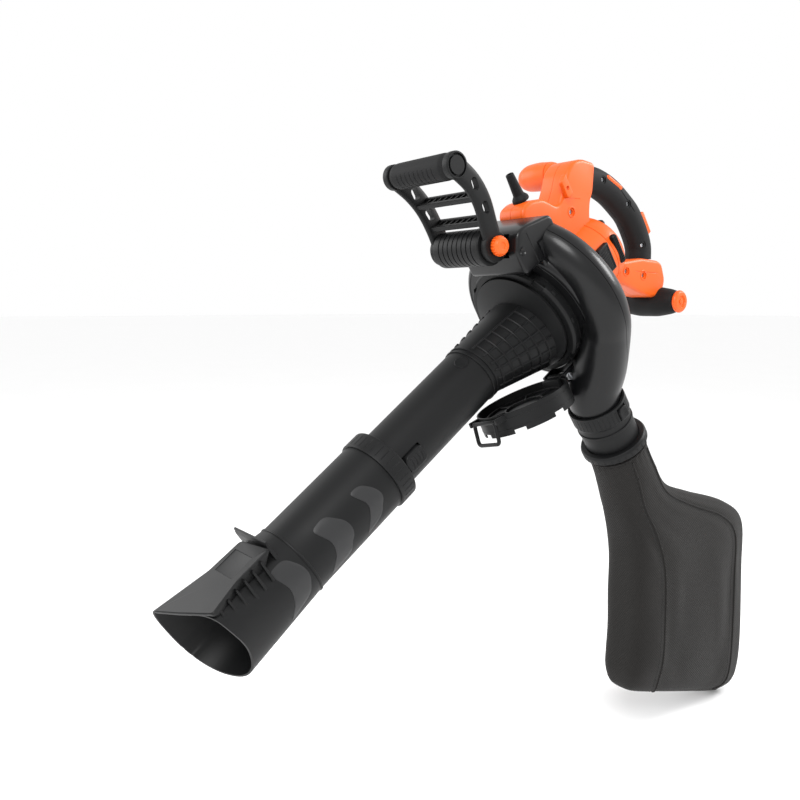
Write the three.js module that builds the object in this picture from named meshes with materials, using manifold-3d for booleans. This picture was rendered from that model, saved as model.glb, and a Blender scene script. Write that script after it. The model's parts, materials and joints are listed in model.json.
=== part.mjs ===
// Handheld electric leaf blower and vacuum, set up as a vacuum: a scroll fan casing with a motor
// barrel behind it, a two-piece suction tube in front, a loop handle, a tilting second handle, an
// open intake door and a collecting bag on the outlet.
//
// Machine frame, in millimetres: Y runs along the motor shaft (the tube points to -Y), X is the
// machine's right and Z points away from the outlet. The whole machine leans by LEAN about X, and
// the bag hangs straight down from the outlet in the outer frame.
import * as THREE from 'three';
import { mergeVertices } from 'three/addons/utils/BufferGeometryUtils.js';
import Module from 'manifold-3d';

const wasm = await Module();
wasm.setup();

// ---------------------------------------------------------------- driving dimensions
const LEAN = THREE.MathUtils.degToRad(35.7);
const ROUND = 30; // faces round the large turned pieces
const GAP = 0.35; // clearance between touching pieces
const WALL = 2.6; // moulded wall
const TUBE_R = 42.5; // upper suction tube, outside
const SLEEVE_R = 50.5; // lower suction tube, outside
const TUBE_JOINT = -292; // Y where the lower tube's sleeve begins
const NOZZLE_Y = -446; // Y where the nozzle leaves the round section
const DRUM_R = 118; // fan drum
const DRUM_FRONT = 38;
const DRUM_BACK = 104.6;
const SPLIT_Y = 66; // parting plane of the fan casing
const INTAKE_R = 78;
const OUTLET = new THREE.Vector3(64, 30, -172); // end of the outlet duct
const OUTLET_R = 39;
const BARREL_R = 61; // motor barrel
const BARREL_FRONT = 133;
const BARREL_END = 236;
const FRAME_HALF = 25; // half thickness of the handle posts
const GRIP_IN_PLANE = 22;
const GRIP_LATERAL = 20;
const PIVOT = new THREE.Vector3(0, -8, 148); // second handle's turning axis, along X
const DOOR_PIN = new THREE.Vector3(0, 16, -104); // door hinge, before DOOR_SWING turns it
const BAG_HALF = 52; // half thickness of the full bag

// ---------------------------------------------------------------- colours
const FINISH = {
  orange: { color: 0xf2581e, roughness: 0.42, metalness: 0 },
  black: { color: 0x1c1d1e, roughness: 0.5, metalness: 0 },
  gloss: { color: 0x141516, roughness: 0.25, metalness: 0 },
  soft: { color: 0x1a1b1c, roughness: 0.8, metalness: 0 },
  fabric: { color: 0x3a3937, roughness: 0.95, metalness: 0 },
  steel: { color: 0xa9acb0, roughness: 0.35, metalness: 1 },
  copper: { color: 0xb4693a, roughness: 0.4, metalness: 1 },
};

// ---------------------------------------------------------------- geometry helpers
const vec = (x, y, z) => new THREE.Vector3(x, y, z);
const CENTRE = vec(0, 0, 0); // origin of the machine frame, on the shaft

/** Turns a closed three.js geometry into a solid, dropping the zero-area triangles at poles. */
function solid(geometry) {
  const plain = geometry.clone();
  plain.deleteAttribute('normal');
  plain.deleteAttribute('uv');
  const merged = mergeVertices(plain, 1e-3);
  const index = Array.from(merged.index.array);
  const kept = [];
  for (let i = 0; i < index.length; i += 3) {
    const [a, b, c] = index.slice(i, i + 3);
    if (a !== b && b !== c && c !== a) kept.push(a, b, c);
  }
  const points = merged.attributes.position;
  if (signedVolume(points, kept) < 0) kept.reverse();
  const mesh = new wasm.Mesh({
    numProp: 3,
    vertProperties: new Float32Array(points.array),
    triVerts: new Uint32Array(kept),
  });
  return new wasm.Manifold(mesh);
}

function signedVolume(points, index) {
  const [a, b, c] = [vec(0, 0, 0), vec(0, 0, 0), vec(0, 0, 0)];
  let volume = 0;
  for (let i = 0; i < index.length; i += 3) {
    a.fromBufferAttribute(points, index[i]);
    b.fromBufferAttribute(points, index[i + 1]);
    c.fromBufferAttribute(points, index[i + 2]);
    volume += a.dot(b.cross(c)) / 6;
  }
  return volume;
}

function geometryOf(body) {
  const mesh = body.getMesh();
  const geometry = new THREE.BufferGeometry();
  geometry.setAttribute('position', new THREE.BufferAttribute(new Float32Array(mesh.vertProperties), 3));
  geometry.setIndex(new THREE.BufferAttribute(new Uint32Array(mesh.triVerts), 1));
  geometry.computeVertexNormals();
  return geometry;
}

const join = (...bodies) => bodies.reduce((sum, body) => sum.add(body));
const cut = (body, ...tools) => tools.reduce((rest, tool) => rest.subtract(tool), body);

/** A solid skinned over closed loops that all have the same number of points. */
function loft(loops) {
  const count = loops[0].length;
  const vertices = [];
  const index = [];
  loops.flat().forEach((p) => vertices.push(p.x, p.y, p.z));
  for (let row = 0; row + 1 < loops.length; row += 1) {
    for (let i = 0; i < count; i += 1) {
      const a = row * count + i;
      const b = row * count + ((i + 1) % count);
      index.push(a, b, b + count, a, b + count, a + count);
    }
  }
  const ends = [[loops[0], 0, true], [loops.at(-1), (loops.length - 1) * count, false]];
  for (const [loop, start, flip] of ends) {
    const centre = loop.reduce((sum, p) => sum.add(p), vec(0, 0, 0)).divideScalar(count);
    const hub = vertices.length / 3;
    vertices.push(centre.x, centre.y, centre.z);
    for (let i = 0; i < count; i += 1) {
      const a = start + i;
      const b = start + ((i + 1) % count);
      if (flip) index.push(b, a, hub);
      else index.push(a, b, hub);
    }
  }
  const geometry = new THREE.BufferGeometry();
  geometry.setAttribute('position', new THREE.Float32BufferAttribute(vertices, 3));
  geometry.setIndex(index);
  return solid(geometry);
}

/** Loop of a super-ellipse round a centre, spanned by two half-axis vectors. */
function ovalLoop(centre, u, v, count = 14, power = 2) {
  const loop = [];
  for (let i = 0; i < count; i += 1) {
    const angle = (2 * Math.PI * i) / count;
    const [c, s] = [Math.cos(angle), Math.sin(angle)];
    const a = Math.sign(c) * Math.abs(c) ** (2 / power);
    const b = Math.sign(s) * Math.abs(s) ** (2 / power);
    loop.push(centre.clone().addScaledVector(u, a).addScaledVector(v, b));
  }
  return loop;
}

/** Solid of revolution about an axis parallel to X, Y or Z; profile rows are [radius, station]. */
function turned(profile, axis = 'y', origin = CENTRE, segments = 20) {
  const closed = profile[0][0] === 0 ? profile : [...profile, profile[0]];
  const points = closed.map(([r, s]) => new THREE.Vector2(r, s));
  const geometry = new THREE.LatheGeometry(points, segments);
  if (axis === 'x') geometry.rotateZ(-Math.PI / 2);
  if (axis === 'z') geometry.rotateX(Math.PI / 2);
  geometry.translate(...origin.toArray());
  return solid(geometry);
}

const rod = (r, from, to, axis = 'y', origin = CENTRE, segments = 18) =>
  turned([[0, from], [r, from], [r, to], [0, to]], axis, origin, segments);

function block(min, max) {
  const size = max.clone().sub(min);
  const middle = max.clone().add(min).multiplyScalar(0.5);
  const geometry = new THREE.BoxGeometry(...size.toArray());
  geometry.translate(...middle.toArray());
  return solid(geometry);
}

/** Slab of half thickness `half` across X, with an outline of [y, z] points and rounded edges. */
function sidePlate(outline, half, bevel = 0) {
  const shape = new THREE.Shape(outline.map(([y, z]) => new THREE.Vector2(y, z)));
  const geometry = new THREE.ExtrudeGeometry(shape, {
    depth: 2 * (half - bevel),
    bevelEnabled: bevel > 0,
    bevelSize: bevel,
    bevelThickness: bevel,
    bevelOffset: -bevel,
    bevelSegments: 2,
  });
  geometry.translate(0, 0, bevel - half);
  geometry.applyMatrix4(new THREE.Matrix4().makeBasis(vec(0, 1, 0), vec(0, 0, 1), vec(1, 0, 0)));
  return solid(geometry);
}

/** Tube of oval section along a curve; r1 lies across X and the curve, r2 along X. */
function sideTube(points, r1, r2, steps = 12, count = 14, power = 2) {
  const curve = new THREE.CatmullRomCurve3(points);
  const loops = [];
  for (let i = 0; i <= steps; i += 1) {
    const along = curve.getTangentAt(i / steps);
    const across = along.clone().cross(vec(1, 0, 0)).normalize();
    loops.push(ovalLoop(curve.getPointAt(i / steps), across.multiplyScalar(r1), vec(r2, 0, 0), count, power));
  }
  return loft(loops);
}

/** Round-ended bar from one point to another. */
function capsuleBar(from, to, r, count = 10) {
  const along = to.clone().sub(from).normalize();
  const side = Math.abs(along.x) < 0.9 ? vec(1, 0, 0) : vec(0, 0, 1);
  const u = along.clone().cross(side).normalize();
  const v = along.clone().cross(u);
  const loops = [];
  const push = (base, offset, scale) => {
    const centre = base.clone().addScaledVector(along, offset);
    const halves = [u, v].map((half) => half.clone().multiplyScalar(r * scale));
    loops.push(ovalLoop(centre, ...halves, count));
  };
  push(from, 0, 0.5);
  push(from, r * 0.4, 1);
  push(to, -r * 0.4, 1);
  push(to, 0, 0.5);
  return loft(loops);
}

const halfSpace = {
  right: block(vec(GAP / 2, -900, -900), vec(900, 900, 900)),
  left: block(vec(-900, -900, -900), vec(-GAP / 2, 900, 900)),
  front: block(vec(-900, -900, -900), vec(900, SPLIT_Y - GAP / 2, 900)),
  back: block(vec(-900, SPLIT_Y + GAP / 2, -900), vec(900, 900, 900)),
};

// ---------------------------------------------------------------- scene graph
const object = new THREE.Group();
const machine = new THREE.Group();
const hanging = new THREE.Group();
machine.rotation.x = LEAN;
object.add(machine, hanging);

function addPart(name, body, finish, parent = machine) {
  const mesh = new THREE.Mesh(geometryOf(body), new THREE.MeshStandardMaterial(FINISH[finish]));
  mesh.name = name;
  parent.add(mesh);
}

// ---------------------------------------------------------------- fan casing
/** Centre line of the scroll and its outlet duct, with the duct's outside radius at each point. */
function scrollPath() {
  const stations = [];
  for (let degrees = 27; degrees <= 117; degrees += 15) {
    const phi = THREE.MathUtils.degToRad(degrees);
    const grow = (degrees - 27) / 90;
    const reach = 124 - 12 * grow;
    stations.push({ p: vec(reach * Math.sin(phi), 72 - 4 * grow, reach * Math.cos(phi)), r: 25 + 12 * grow });
  }
  stations.push({ p: vec(79, 54, -102), r: 39 }, { p: vec(67, 38, -130), r: 39.5 });
  stations.push({ p: vec(OUTLET.x, OUTLET.y, -150), r: OUTLET_R }, { p: OUTLET.clone(), r: OUTLET_R });
  return stations;
}

/** The scroll as a solid, grown by `grow`; the far end can be pushed out to cut a bore. */
function scroll(grow, overrun = 0) {
  const stations = scrollPath();
  const curve = new THREE.CatmullRomCurve3(stations.map((s) => s.p));
  const steps = 16;
  const loops = [];
  for (let i = 0; i <= steps; i += 1) {
    const t = i / steps;
    const at = t * (stations.length - 1);
    const low = Math.min(Math.floor(at), stations.length - 2);
    const radius = THREE.MathUtils.lerp(stations[low].r, stations[low + 1].r, at - low) + grow;
    const along = curve.getTangent(t);
    const u = along.clone().cross(vec(0, 1, 0)).normalize();
    const v = along.clone().cross(u);
    const centre = curve.getPoint(t);
    if (i === 0) {
      const tip = centre.clone().addScaledVector(along, -radius * 0.55);
      const small = [u, v].map((half) => half.clone().multiplyScalar(radius * 0.6));
      loops.push(ovalLoop(tip, ...small));
    }
    loops.push(ovalLoop(centre, u.multiplyScalar(radius), v.multiplyScalar(radius)));
    if (i === steps && overrun > 0) {
      loops.push(loops.at(-1).map((p) => p.clone().addScaledVector(along, overrun)));
    }
  }
  return loft(loops);
}

function drum(grow) {
  const r = DRUM_R + grow;
  const front = DRUM_FRONT - grow;
  const back = DRUM_BACK + grow;
  const profile = [[0, front], [r - 7, front], [r, front + 8], [r, back - 12], [r - 12, back], [0, back]];
  return turned(profile, 'y', CENTRE, ROUND);
}

/** Room that the fan casing takes out of its neighbours. */
const casingKeepOut = join(drum(GAP), scroll(GAP));

function buildCasing() {
  const shell = cut(
    join(drum(0), scroll(0)),
    join(drum(-WALL), scroll(-WALL, 12)),
    rod(INTAKE_R, 20, 60, 'y', CENTRE, ROUND),
    rod(9, 90, 110),
  );
  const shank = rod(3 + GAP, -40, 30, 'x', DOOR_PIN, 12);
  const pinRoom = swung(join(shank, rod(6 + GAP, 25.2, 30, 'x', DOOR_PIN, 12)));
  addPart('volute_front', cut(join(shell.intersect(halfSpace.front), ...doorLugs()), pinRoom), 'gloss');
  addPart('volute_back', shell.intersect(halfSpace.back), 'gloss');

  const seatY = DRUM_FRONT - GAP;
  let ring = turned([[80, 21], [89, 21], [92, 25], [92, seatY], [80, seatY]], 'y', CENTRE, ROUND);
  for (let i = 0; i < 4; i += 1) {
    const angle = Math.PI / 4 + (i * Math.PI) / 2;
    const notch = new THREE.BoxGeometry(9, 12, 20);
    notch.translate(90, 23, 0);
    notch.rotateY(angle);
    ring = cut(ring, solid(notch));
  }
  addPart('intake_ring', cut(ring, casingKeepOut), 'black');
}

// ---------------------------------------------------------------- motor and fan
function buildMotor() {
  let wheel = turned([[12, 88], [86, 88], [86, 91], [12, 91]], 'y', CENTRE, ROUND);
  wheel = wheel.add(turned([[5.4, 62], [13, 62], [13, 91], [5.4, 91]], 'y', CENTRE, 16));
  for (let i = 0; i < 8; i += 1) {
    const blade = new THREE.BoxGeometry(58, 40, 3);
    blade.rotateY(0.35);
    blade.translate(54, 69, 0);
    blade.rotateY((i * Math.PI) / 4);
    wheel = wheel.add(solid(blade));
  }
  addPart('impeller', wheel, 'black');
  const nut = cut(rod(8.5, 54, 61.5, 'y', CENTRE, 6), rod(5.4, 50, 66, 'y', CENTRE, 16));
  addPart('impeller_nut', nut, 'steel');

  const shaft = rod(5, 51, 222, 'y', CENTRE, 16);
  addPart('armature', join(shaft, rod(25, 147, 186)), 'steel');
  addPart('commutator', turned([[5.4, 189], [14, 189], [14, 203], [5.4, 203]], 'y'), 'copper');
  addPart('stator', turned([[27, 144], [52, 144], [52, 190], [27, 190]], 'y'), 'steel');
  addPart('brush_right', block(vec(14.4, 192, -4), vec(32, 201, 4)), 'copper');
  addPart('brush_left', block(vec(-32, 192, -4), vec(-14.4, 201, 4)), 'copper');
  addPart('bearing_front', turned([[5.4, 109], [13, 109], [13, 118], [5.4, 118]], 'y'), 'steel');
  addPart('bearing_rear', turned([[5.4, 208], [12, 208], [12, 216], [5.4, 216]], 'y'), 'steel');
  const bracket = [[12.4, 205], [51, 205], [51, 208], [17, 212], [17, 216], [12.4, 216]];
  addPart('motor_bracket', turned(bracket, 'y'), 'black');

  let fan = turned([[5.4, 122], [46, 122], [46, 124.5], [12, 124.5], [12, 131], [5.4, 131]], 'y');
  for (let i = 0; i < 8; i += 1) {
    const blade = new THREE.BoxGeometry(33, 8, 2);
    blade.translate(28, 127, 0);
    blade.rotateY((i * Math.PI) / 4);
    fan = fan.add(solid(blade));
  }
  addPart('cooling_fan', fan, 'black');

  const rim = BARREL_FRONT - GAP;
  let collar = turned(
    [[13.4, 106], [63, 106], [64, 109], [64, rim], [58, rim], [58, 119], [13.4, 119]], 'y', CENTRE, ROUND,
  );
  for (let i = 0; i < 12; i += 1) {
    const slot = new THREE.BoxGeometry(14, 7, 16);
    slot.translate(62, 126, 0);
    slot.rotateY(((i + 0.5) * Math.PI) / 6);
    collar = cut(collar, solid(slot));
  }
  addPart('motor_collar', collar, 'black');
}

// ---------------------------------------------------------------- motor housing and loop handle
const LOOP = [[254, 104], [277, 84], [298, 55], [314, 19], [321, -5], [322, -37], [318, -62], [307, -80]];
const FRONT_BULB = vec(0, 298, -160);
const BULB_END = 53;
const REAR_BULB = vec(0, 237, 126);
const RELIEF = vec(0, 120, 148);
const SCREWS = [
  [277, 87, 'loop_grip'], [311, 23, 'loop_grip'], [309, -54, 'loop_grip'],
  [180, 88, 'housing'], [243, -61, 'housing'], [277, -92, 'housing'],
];

/** Side outline of the posts and the tail over the fan casing, as [y, z]. */
const frameOutline = [
  [86, 112], [86, 138], [94, 147], [112, 148], [138, 137], [160, 110], [184, 125], [204, 142], [226, 148],
  [246, 140], [268.2, 119.8], [240.2, 85.8], [228, 78], [214, 60], [200, 20], [210, -30], [236, -38],
  [262, -52], [289, -66], [325, -95], [331, -106], [324, -134], [306, -147], [284, -142], [262, -122],
  [238, -90],
  [214, -62], [170, -50], [150, -20], [140, 60], [126, 100], [104, 112],
];

const rearBulbProfile = (grow) => [
  [0, 25.5 - grow], [16 + grow, 25.5 - grow], [20 + grow, 34], [22.5 + grow, 60], [21 + grow, 84],
  [14 + grow, 98], [0, 103 + grow],
];
const frontBulbProfile = (grow) => [
  [0, -BULB_END - grow], [17 + grow, -BULB_END - grow], [21 + grow, -42], [25 + grow, -18], [25 + grow, 18],
  [21 + grow, 42], [17 + grow, BULB_END + grow], [0, BULB_END + grow],
];

/** Flat black plate standing on the barrel's side; grown copies cut its seat. */
function badge(side, grow) {
  const geometry = new THREE.BoxGeometry(8 + 2 * grow, 26 + 2 * grow, 44 + 2 * grow);
  geometry.translate(side * 59.5, 171, 8);
  return solid(geometry);
}

function sideVent(side, grow) {
  return capsuleBar(vec(side * 58, 205, 30 + grow), vec(side * 58, 205, -20 - grow), 6 + grow, 8);
}

function endVent(side, grow) {
  return capsuleBar(vec(-26 - grow, 234, side * 34), vec(26 + grow, 234, side * 34), 6 + grow, 8);
}

function buildHousing() {
  const barrel = turned([
    [0, BARREL_FRONT], [BARREL_R, BARREL_FRONT], [BARREL_R, 206], [57, 220], [47, 230], [31, 235],
    [0, BARREL_END],
  ], 'y', CENTRE, ROUND);
  const room = [[0, 120], [54.6, 120], [54.6, 210], [48, 222], [30, 228], [0, 229]];
  const cavity = turned(room, 'y', CENTRE, ROUND);
  const frame = sidePlate(frameOutline, FRAME_HALF, 5);
  const collarRoom = rod(64.5, 90, BARREL_FRONT, 'y', CENTRE, ROUND);
  let housing = cut(
    join(barrel, frame),
    cavity,
    collarRoom,
    casingKeepOut,
    turned(frontBulbProfile(GAP), 'x', FRONT_BULB),
    rod(13, -2, 60, 'z', vec(0, RELIEF.y, RELIEF.z), 16),
    block(vec(-13, 197, 93), vec(13, 229, 121)),
    block(vec(-13, 218, 64), vec(13, 241, 98)),
  );
  for (const side of [-1, 1]) {
    housing = cut(housing, badge(side, GAP), sideVent(side, GAP), endVent(side, GAP));
  }
  let grip = sideTube(LOOP.map(([y, z]) => vec(0, y, z)), GRIP_IN_PLANE, GRIP_LATERAL, 12);
  grip = cut(grip, sidePlate(frameOutline, FRAME_HALF + 10), inlay(-1, GAP), inlay(1, GAP), rockerFrame(GAP));

  SCREWS.forEach(([y, z, owner], i) => {
    const face = owner === 'housing' ? FRAME_HALF : GRIP_LATERAL;
    const hole = rod(4, face - 7, face + 8, 'x', vec(0, y, z), 10);
    if (owner === 'housing') housing = cut(housing, hole);
    else grip = cut(grip, hole);
    const head = [[0, face - 6.6], [3.5, face - 6.6], [3.5, face - 3.6], [0, face - 3]];
    addPart(`case_screw_${i + 1}`, turned(head, 'x', vec(0, y, z), 10), 'steel');
  });
  addPart('housing_right', housing.intersect(halfSpace.right), 'orange');
  addPart('housing_left', housing.intersect(halfSpace.left), 'orange');
  addPart('loop_grip_right', grip.intersect(halfSpace.right), 'soft');
  addPart('loop_grip_left', grip.intersect(halfSpace.left), 'soft');
  addPart('grip_inlay_right', inlay(1, 0), 'orange');
  addPart('grip_inlay_left', inlay(-1, 0), 'orange');

  for (const [name, side] of [['right', 1], ['left', -1]]) {
    addPart(`badge_${name}`, badge(side, 0), 'black');
    addPart(`vent_${name}`, sideVent(side, 0), 'black');
  }
  addPart('vent_end_upper', endVent(1, 0), 'black');
  addPart('vent_end_lower', endVent(-1, 0), 'black');

  const rearBulb = turned(rearBulbProfile(0), 'x', CENTRE).mirror([1, 0, 0]);
  addPart('rear_bulb_grip', rearBulb.translate(REAR_BULB.toArray()), 'orange');
  addPart('front_bulb_grip', turned(frontBulbProfile(0), 'x', FRONT_BULB), 'soft');
  const cap = turned([[0, BULB_END + GAP], [18, BULB_END + GAP], [19, BULB_END + 4], [16, BULB_END + 8],
    [0, BULB_END + 9]], 'x', CENTRE);
  addPart('bulb_cap_right', cap.translate(FRONT_BULB.toArray()), 'orange');
  addPart('bulb_cap_left', cap.mirror([1, 0, 0]).translate(FRONT_BULB.toArray()), 'orange');
  addPart('strain_relief', turned([[0, -1.6], [12.5, -1.6], [12.5, 3], [8, 9], [6, 42], [0, 42]], 'z',
    vec(0, RELIEF.y, RELIEF.z), 16), 'soft');
  addPart('cord_hook', sidePlate([[176, 112], [190, 112], [190, 146], [176, 140]], 4, 1.5)
    .translate([FRAME_HALF + 4 + GAP, 0, 0]), 'orange');
}

/** Orange strip let into the shoulder of the loop grip. */
function inlay(side, grow) {
  const from = vec(side * 16.5, 289 - grow * 0.6, 86 + grow);
  const to = vec(side * 16.5, 311 + grow * 0.5, 50 - grow);
  return capsuleBar(from, to, 4 + grow, 8);
}

/** Raised surround of the rocker switch on the outside of the loop; grown copies cut its seat. */
function rockerFrame(grow) {
  return block(vec(-12 - grow, 338 - grow, -53 - grow), vec(12 + grow, 349, -13 + grow));
}

function buildControls() {
  const room = block(vec(-7, 341, -46), vec(7, 360, -20));
  addPart('rocker_frame', cut(rockerFrame(0), room), 'orange');
  const rocker = sidePlate([[344, -44], [350, -44], [346.5, -33], [352, -22], [344, -22]], 6.4, 0.8);
  addPart('switch_rocker', rocker, 'black');
  const blade = [[221, 92], [225, 76], [233, 70], [239, 74], [234, 88], [229, 95]];
  addPart('trigger', sidePlate(blade, 11, 2), 'black');
  addPart('switch_module', block(vec(-10, 200, 96), vec(10, 219, 118)), 'black');
}

// ---------------------------------------------------------------- second handle
const HANDLE_GRIP = vec(0, -17, 273);
const ARM_X = 62;
const BARREL_HALF = 46; // half length of the pivot barrel

function buildPivot() {
  const outline = [[0, 94], [0, 130], [17, 152], [34, 152], [85.6, 138], [85.6, 60], [39, 60], [39, 94]];
  const mount = sidePlate(outline, 54, 4).translate([24, 0, 0]);
  addPart('pivot_housing', cut(mount, casingKeepOut, rod(25.5 + GAP, -80, 80, 'x', PIVOT, 28)), 'black');
  const bore = rod(4.4, -80, 80, 'x', PIVOT, 12);
  addPart('pivot_barrel', cut(rod(25.5, -BARREL_HALF, BARREL_HALF, 'x', PIVOT), bore), 'black');
  const reach = BARREL_HALF + 11; // outside of the arms' bosses
  const boltHead = rod(9, -reach - 5, -reach - 0.5, 'x', PIVOT, 6);
  addPart('pivot_bolt', join(rod(4, -reach - 4, reach + 2, 'x', PIVOT, 12), boltHead), 'steel');
  const from = reach + 0.6;
  const profile = [[4.4, from], [13, from], [13.5, from + 8], [11, from + 12], [4.4, from + 12]];
  const knob = turned(profile, 'x', PIVOT, 20);
  addPart('pivot_knob', knob.add(rod(9, from + 8, from + 11, 'x', PIVOT, 16)), 'orange');
}

/** One flat side arm with its two end bosses, bolt hole and two slots. */
function sideArm(side) {
  const bowed = [[52, -8, 150], [54, -2, 180], [58, 1, 212], [61, -4, 242], [ARM_X, -17, 272]]
    .map(([x, y, z]) => vec(side * x, y, z));
  const boss = (r, inner, at) => {
    const [low, high] = side > 0 ? [inner, inner + 10] : [-inner - 10, -inner];
    return rod(r, low, high, 'x', at, 20);
  };
  const ends = [boss(21, BARREL_HALF + 1, PIVOT), boss(17.5, 57, HANDLE_GRIP)];
  const arm = join(sideTube(bowed, 15, 5, 7, 8, 3.4), ...ends);
  const slots = [[0, 202], [-3, 238]].map(([y, z]) => (
    capsuleBar(vec(side * 45, y, z), vec(side * 74, y, z), 6, 8)
  ));
  return cut(arm, rod(4.4, -90, 90, 'x', PIVOT, 12), ...slots);
}

function buildSecondHandle() {
  const rails = [[184, 54], [220, 58]].flatMap(([z, half]) => [-12, 6].map((y) => (
    block(vec(-half, y, z - 3), vec(half, y + 6, z + 4))
  )));
  const handle = join(sideArm(1), sideArm(-1), ...rails, rod(9, -ARM_X, ARM_X, 'x', HANDLE_GRIP, 12));
  addPart('second_handle', handle, 'black');
  const sleeve = turned(
    [[9.4, -56], [15, -56], [17.5, -48], [17.5, 48], [15, 56], [9.4, 56]], 'x', HANDLE_GRIP, 20,
  );
  addPart('second_handle_grip', sleeve, 'soft');
}

// ---------------------------------------------------------------- suction tube
const TUBE_FACES = 24;

/** Round loop about the tube's axis, optionally dropped towards the outlet by `dz`. */
const tubeLoop = (r, y, dz = 0) => ovalLoop(vec(0, y, dz), vec(r, 0, 0), vec(0, 0, r), TUBE_FACES);

/** The slanted mouth: a flat top for scraping and a rounded underside. */
function mouthLoop(inset, shift = 0) {
  const lip = new THREE.CatmullRomCurve3([
    vec(-50, -622, 56), vec(0, -606, 60), vec(50, -590, 56), vec(60, -584, 28), vec(56, -582, -6),
    vec(42, -590, -38), vec(16, -602, -54), vec(-20, -614, -52), vec(-46, -622, -30), vec(-58, -625, 6),
  ], true).getSpacedPoints(360);
  const loop = [];
  for (let i = 0; i < TUBE_FACES; i += 1) {
    const angle = (2 * Math.PI * i) / TUBE_FACES;
    const ray = vec(Math.cos(angle), 0, Math.sin(angle));
    const turn = (p) => vec(p.x, 0, p.z).angleTo(ray);
    const nearest = lip.reduce((best, p) => (turn(p) < turn(best) ? p : best));
    const inward = vec(-nearest.x, 0, -nearest.z).normalize();
    loop.push(nearest.clone().addScaledVector(inward, inset).add(vec(0, -shift, 0)));
  }
  return loop;
}

function buildTube() {
  const outside = loft([
    tubeLoop(TUBE_R, -330), tubeLoop(TUBE_R, -96), tubeLoop(61, 10, -18), tubeLoop(79.4, 17),
    tubeLoop(79.4, 36),
  ]);
  const inner = TUBE_R - WALL;
  const inside = loft([
    tubeLoop(inner, -331), tubeLoop(inner, -96), tubeLoop(57.5, 11, -18), tubeLoop(76, 18), tubeLoop(76, 37),
  ]);
  addPart('upper_tube', cut(outside, inside, block(vec(28, -291, -13), vec(60, -255, 13))), 'black');
  const button = sidePlate([[-256, -12], [-256, 12], [-284, 12], [-290, 6], [-290, -6], [-284, -12]], 5, 1.5);
  addPart('tube_catch', button.translate([42.5, 0, 0]), 'black');

  const skin = (inset, overrun) => loft([
    tubeLoop(SLEEVE_R - inset, TUBE_JOINT + overrun),
    tubeLoop(SLEEVE_R - inset, NOZZLE_Y - 20),
    mouthLoop(inset),
    ...(overrun > 0 ? [mouthLoop(inset, 20)] : []),
  ]);
  const collar = turned([[44, TUBE_JOINT - 26], [53.5, TUBE_JOINT - 26], [53.5, TUBE_JOINT], [44, TUBE_JOINT]],
    'y', CENTRE, TUBE_FACES);
  const scraper = sidePlate([[-498, 46], [-498, 66], [-560, 66], [-618, 62], [-618, 54], [-560, 46]], 34, 0);
  const fin = block(vec(-22, -492, 44), vec(44, -488, 66));
  const [seatIn, seatOut, seatTop] = [TUBE_R + GAP, SLEEVE_R - 1, TUBE_JOINT - 0.5];
  const seatProfile = [[seatIn, -328], [seatOut, -328], [seatOut, seatTop], [seatIn, seatTop]];
  const seat = turned(seatProfile, 'y', CENTRE, TUBE_FACES);
  const hollow = cut(join(skin(0, 0), collar, scraper, fin), skin(WALL, 6));
  addPart('lower_tube', join(hollow, seat), 'black');
}

// ---------------------------------------------------------------- intake door
const DOOR_CENTRE = vec(0, -62, 0);
const DOOR_R = 72;
const DOOR_RIM = -101; // Z of the cup's open rim before it is tilted
const DOOR_DEPTH = 32;
const DOOR_SWING = -14; // degrees about the shaft, from straight below the ring towards the outlet
const DOOR_TILT = -15; // degrees about the hinge pin, from square to the tube

/** Moves a piece of the hinge from below the ring round to its place beside the outlet. */
const swung = (body) => body.rotate([0, DOOR_SWING, 0]);

/** The same for a piece of the open door, which also leans about the hinge pin. */
function tiltDoor(body) {
  const atPin = body.translate([0, -DOOR_PIN.y, -DOOR_PIN.z]);
  return swung(atPin.rotate([DOOR_TILT, 0, 0]).translate([0, DOOR_PIN.y, DOOR_PIN.z]));
}

function buildDoor() {
  const floor = DOOR_RIM - 14;
  const foot = DOOR_RIM - DOOR_DEPTH;
  const inner = DOOR_R - 3;
  const cup = turned([
    [0, floor - 3], [inner, floor - 3], [inner, foot], [DOOR_R, foot], [DOOR_R, DOOR_RIM],
    [inner, DOOR_RIM], [inner, floor], [0, floor],
  ], 'z', DOOR_CENTRE, 28);
  const arm = block(vec(DOOR_PIN.x - 18, -2, floor - 3), vec(DOOR_PIN.x + 18, DOOR_PIN.y, DOOR_RIM + 2));
  const knuckle = rod(7, -18, 18, 'x', DOOR_PIN, 16);
  const tip = DOOR_CENTRE.y - DOOR_R;
  const ears = [-34, 29].map((x) => block(
    vec(DOOR_CENTRE.x + x, tip - 9, DOOR_RIM - 9), vec(DOOR_CENTRE.x + x + 5, tip + 12, DOOR_RIM - 1),
  ));
  const pinHole = rod(3 + GAP, -40, 40, 'x', DOOR_PIN, 12);
  addPart('intake_door', tiltDoor(cut(join(cup, arm, knuckle, ...ears), pinHole)), 'black');
  const pin = join(rod(3, -25.5, 27, 'x', DOOR_PIN, 12), rod(6, 25.5, 29, 'x', DOOR_PIN, 12));
  addPart('door_hinge_pin', swung(pin), 'steel');

  const bar = (from, to) => capsuleBar(from, to, 3.2, 8);
  const top = [tip - 5.5, DOOR_RIM - 5];
  const bottom = [tip - 12, DOOR_RIM - 36];
  const [left, right] = [DOOR_CENTRE.x - 25, DOOR_CENTRE.x + 25];
  addPart('door_latch', tiltDoor(join(
    bar(vec(left - 3.4, ...top), vec(right + 3.4, ...top)),
    bar(vec(left, ...top), vec(left, ...bottom)),
    bar(vec(right, ...top), vec(right, ...bottom)),
    bar(vec(left - 3, ...bottom), vec(right + 3, ...bottom)),
  )), 'black');
}

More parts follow.
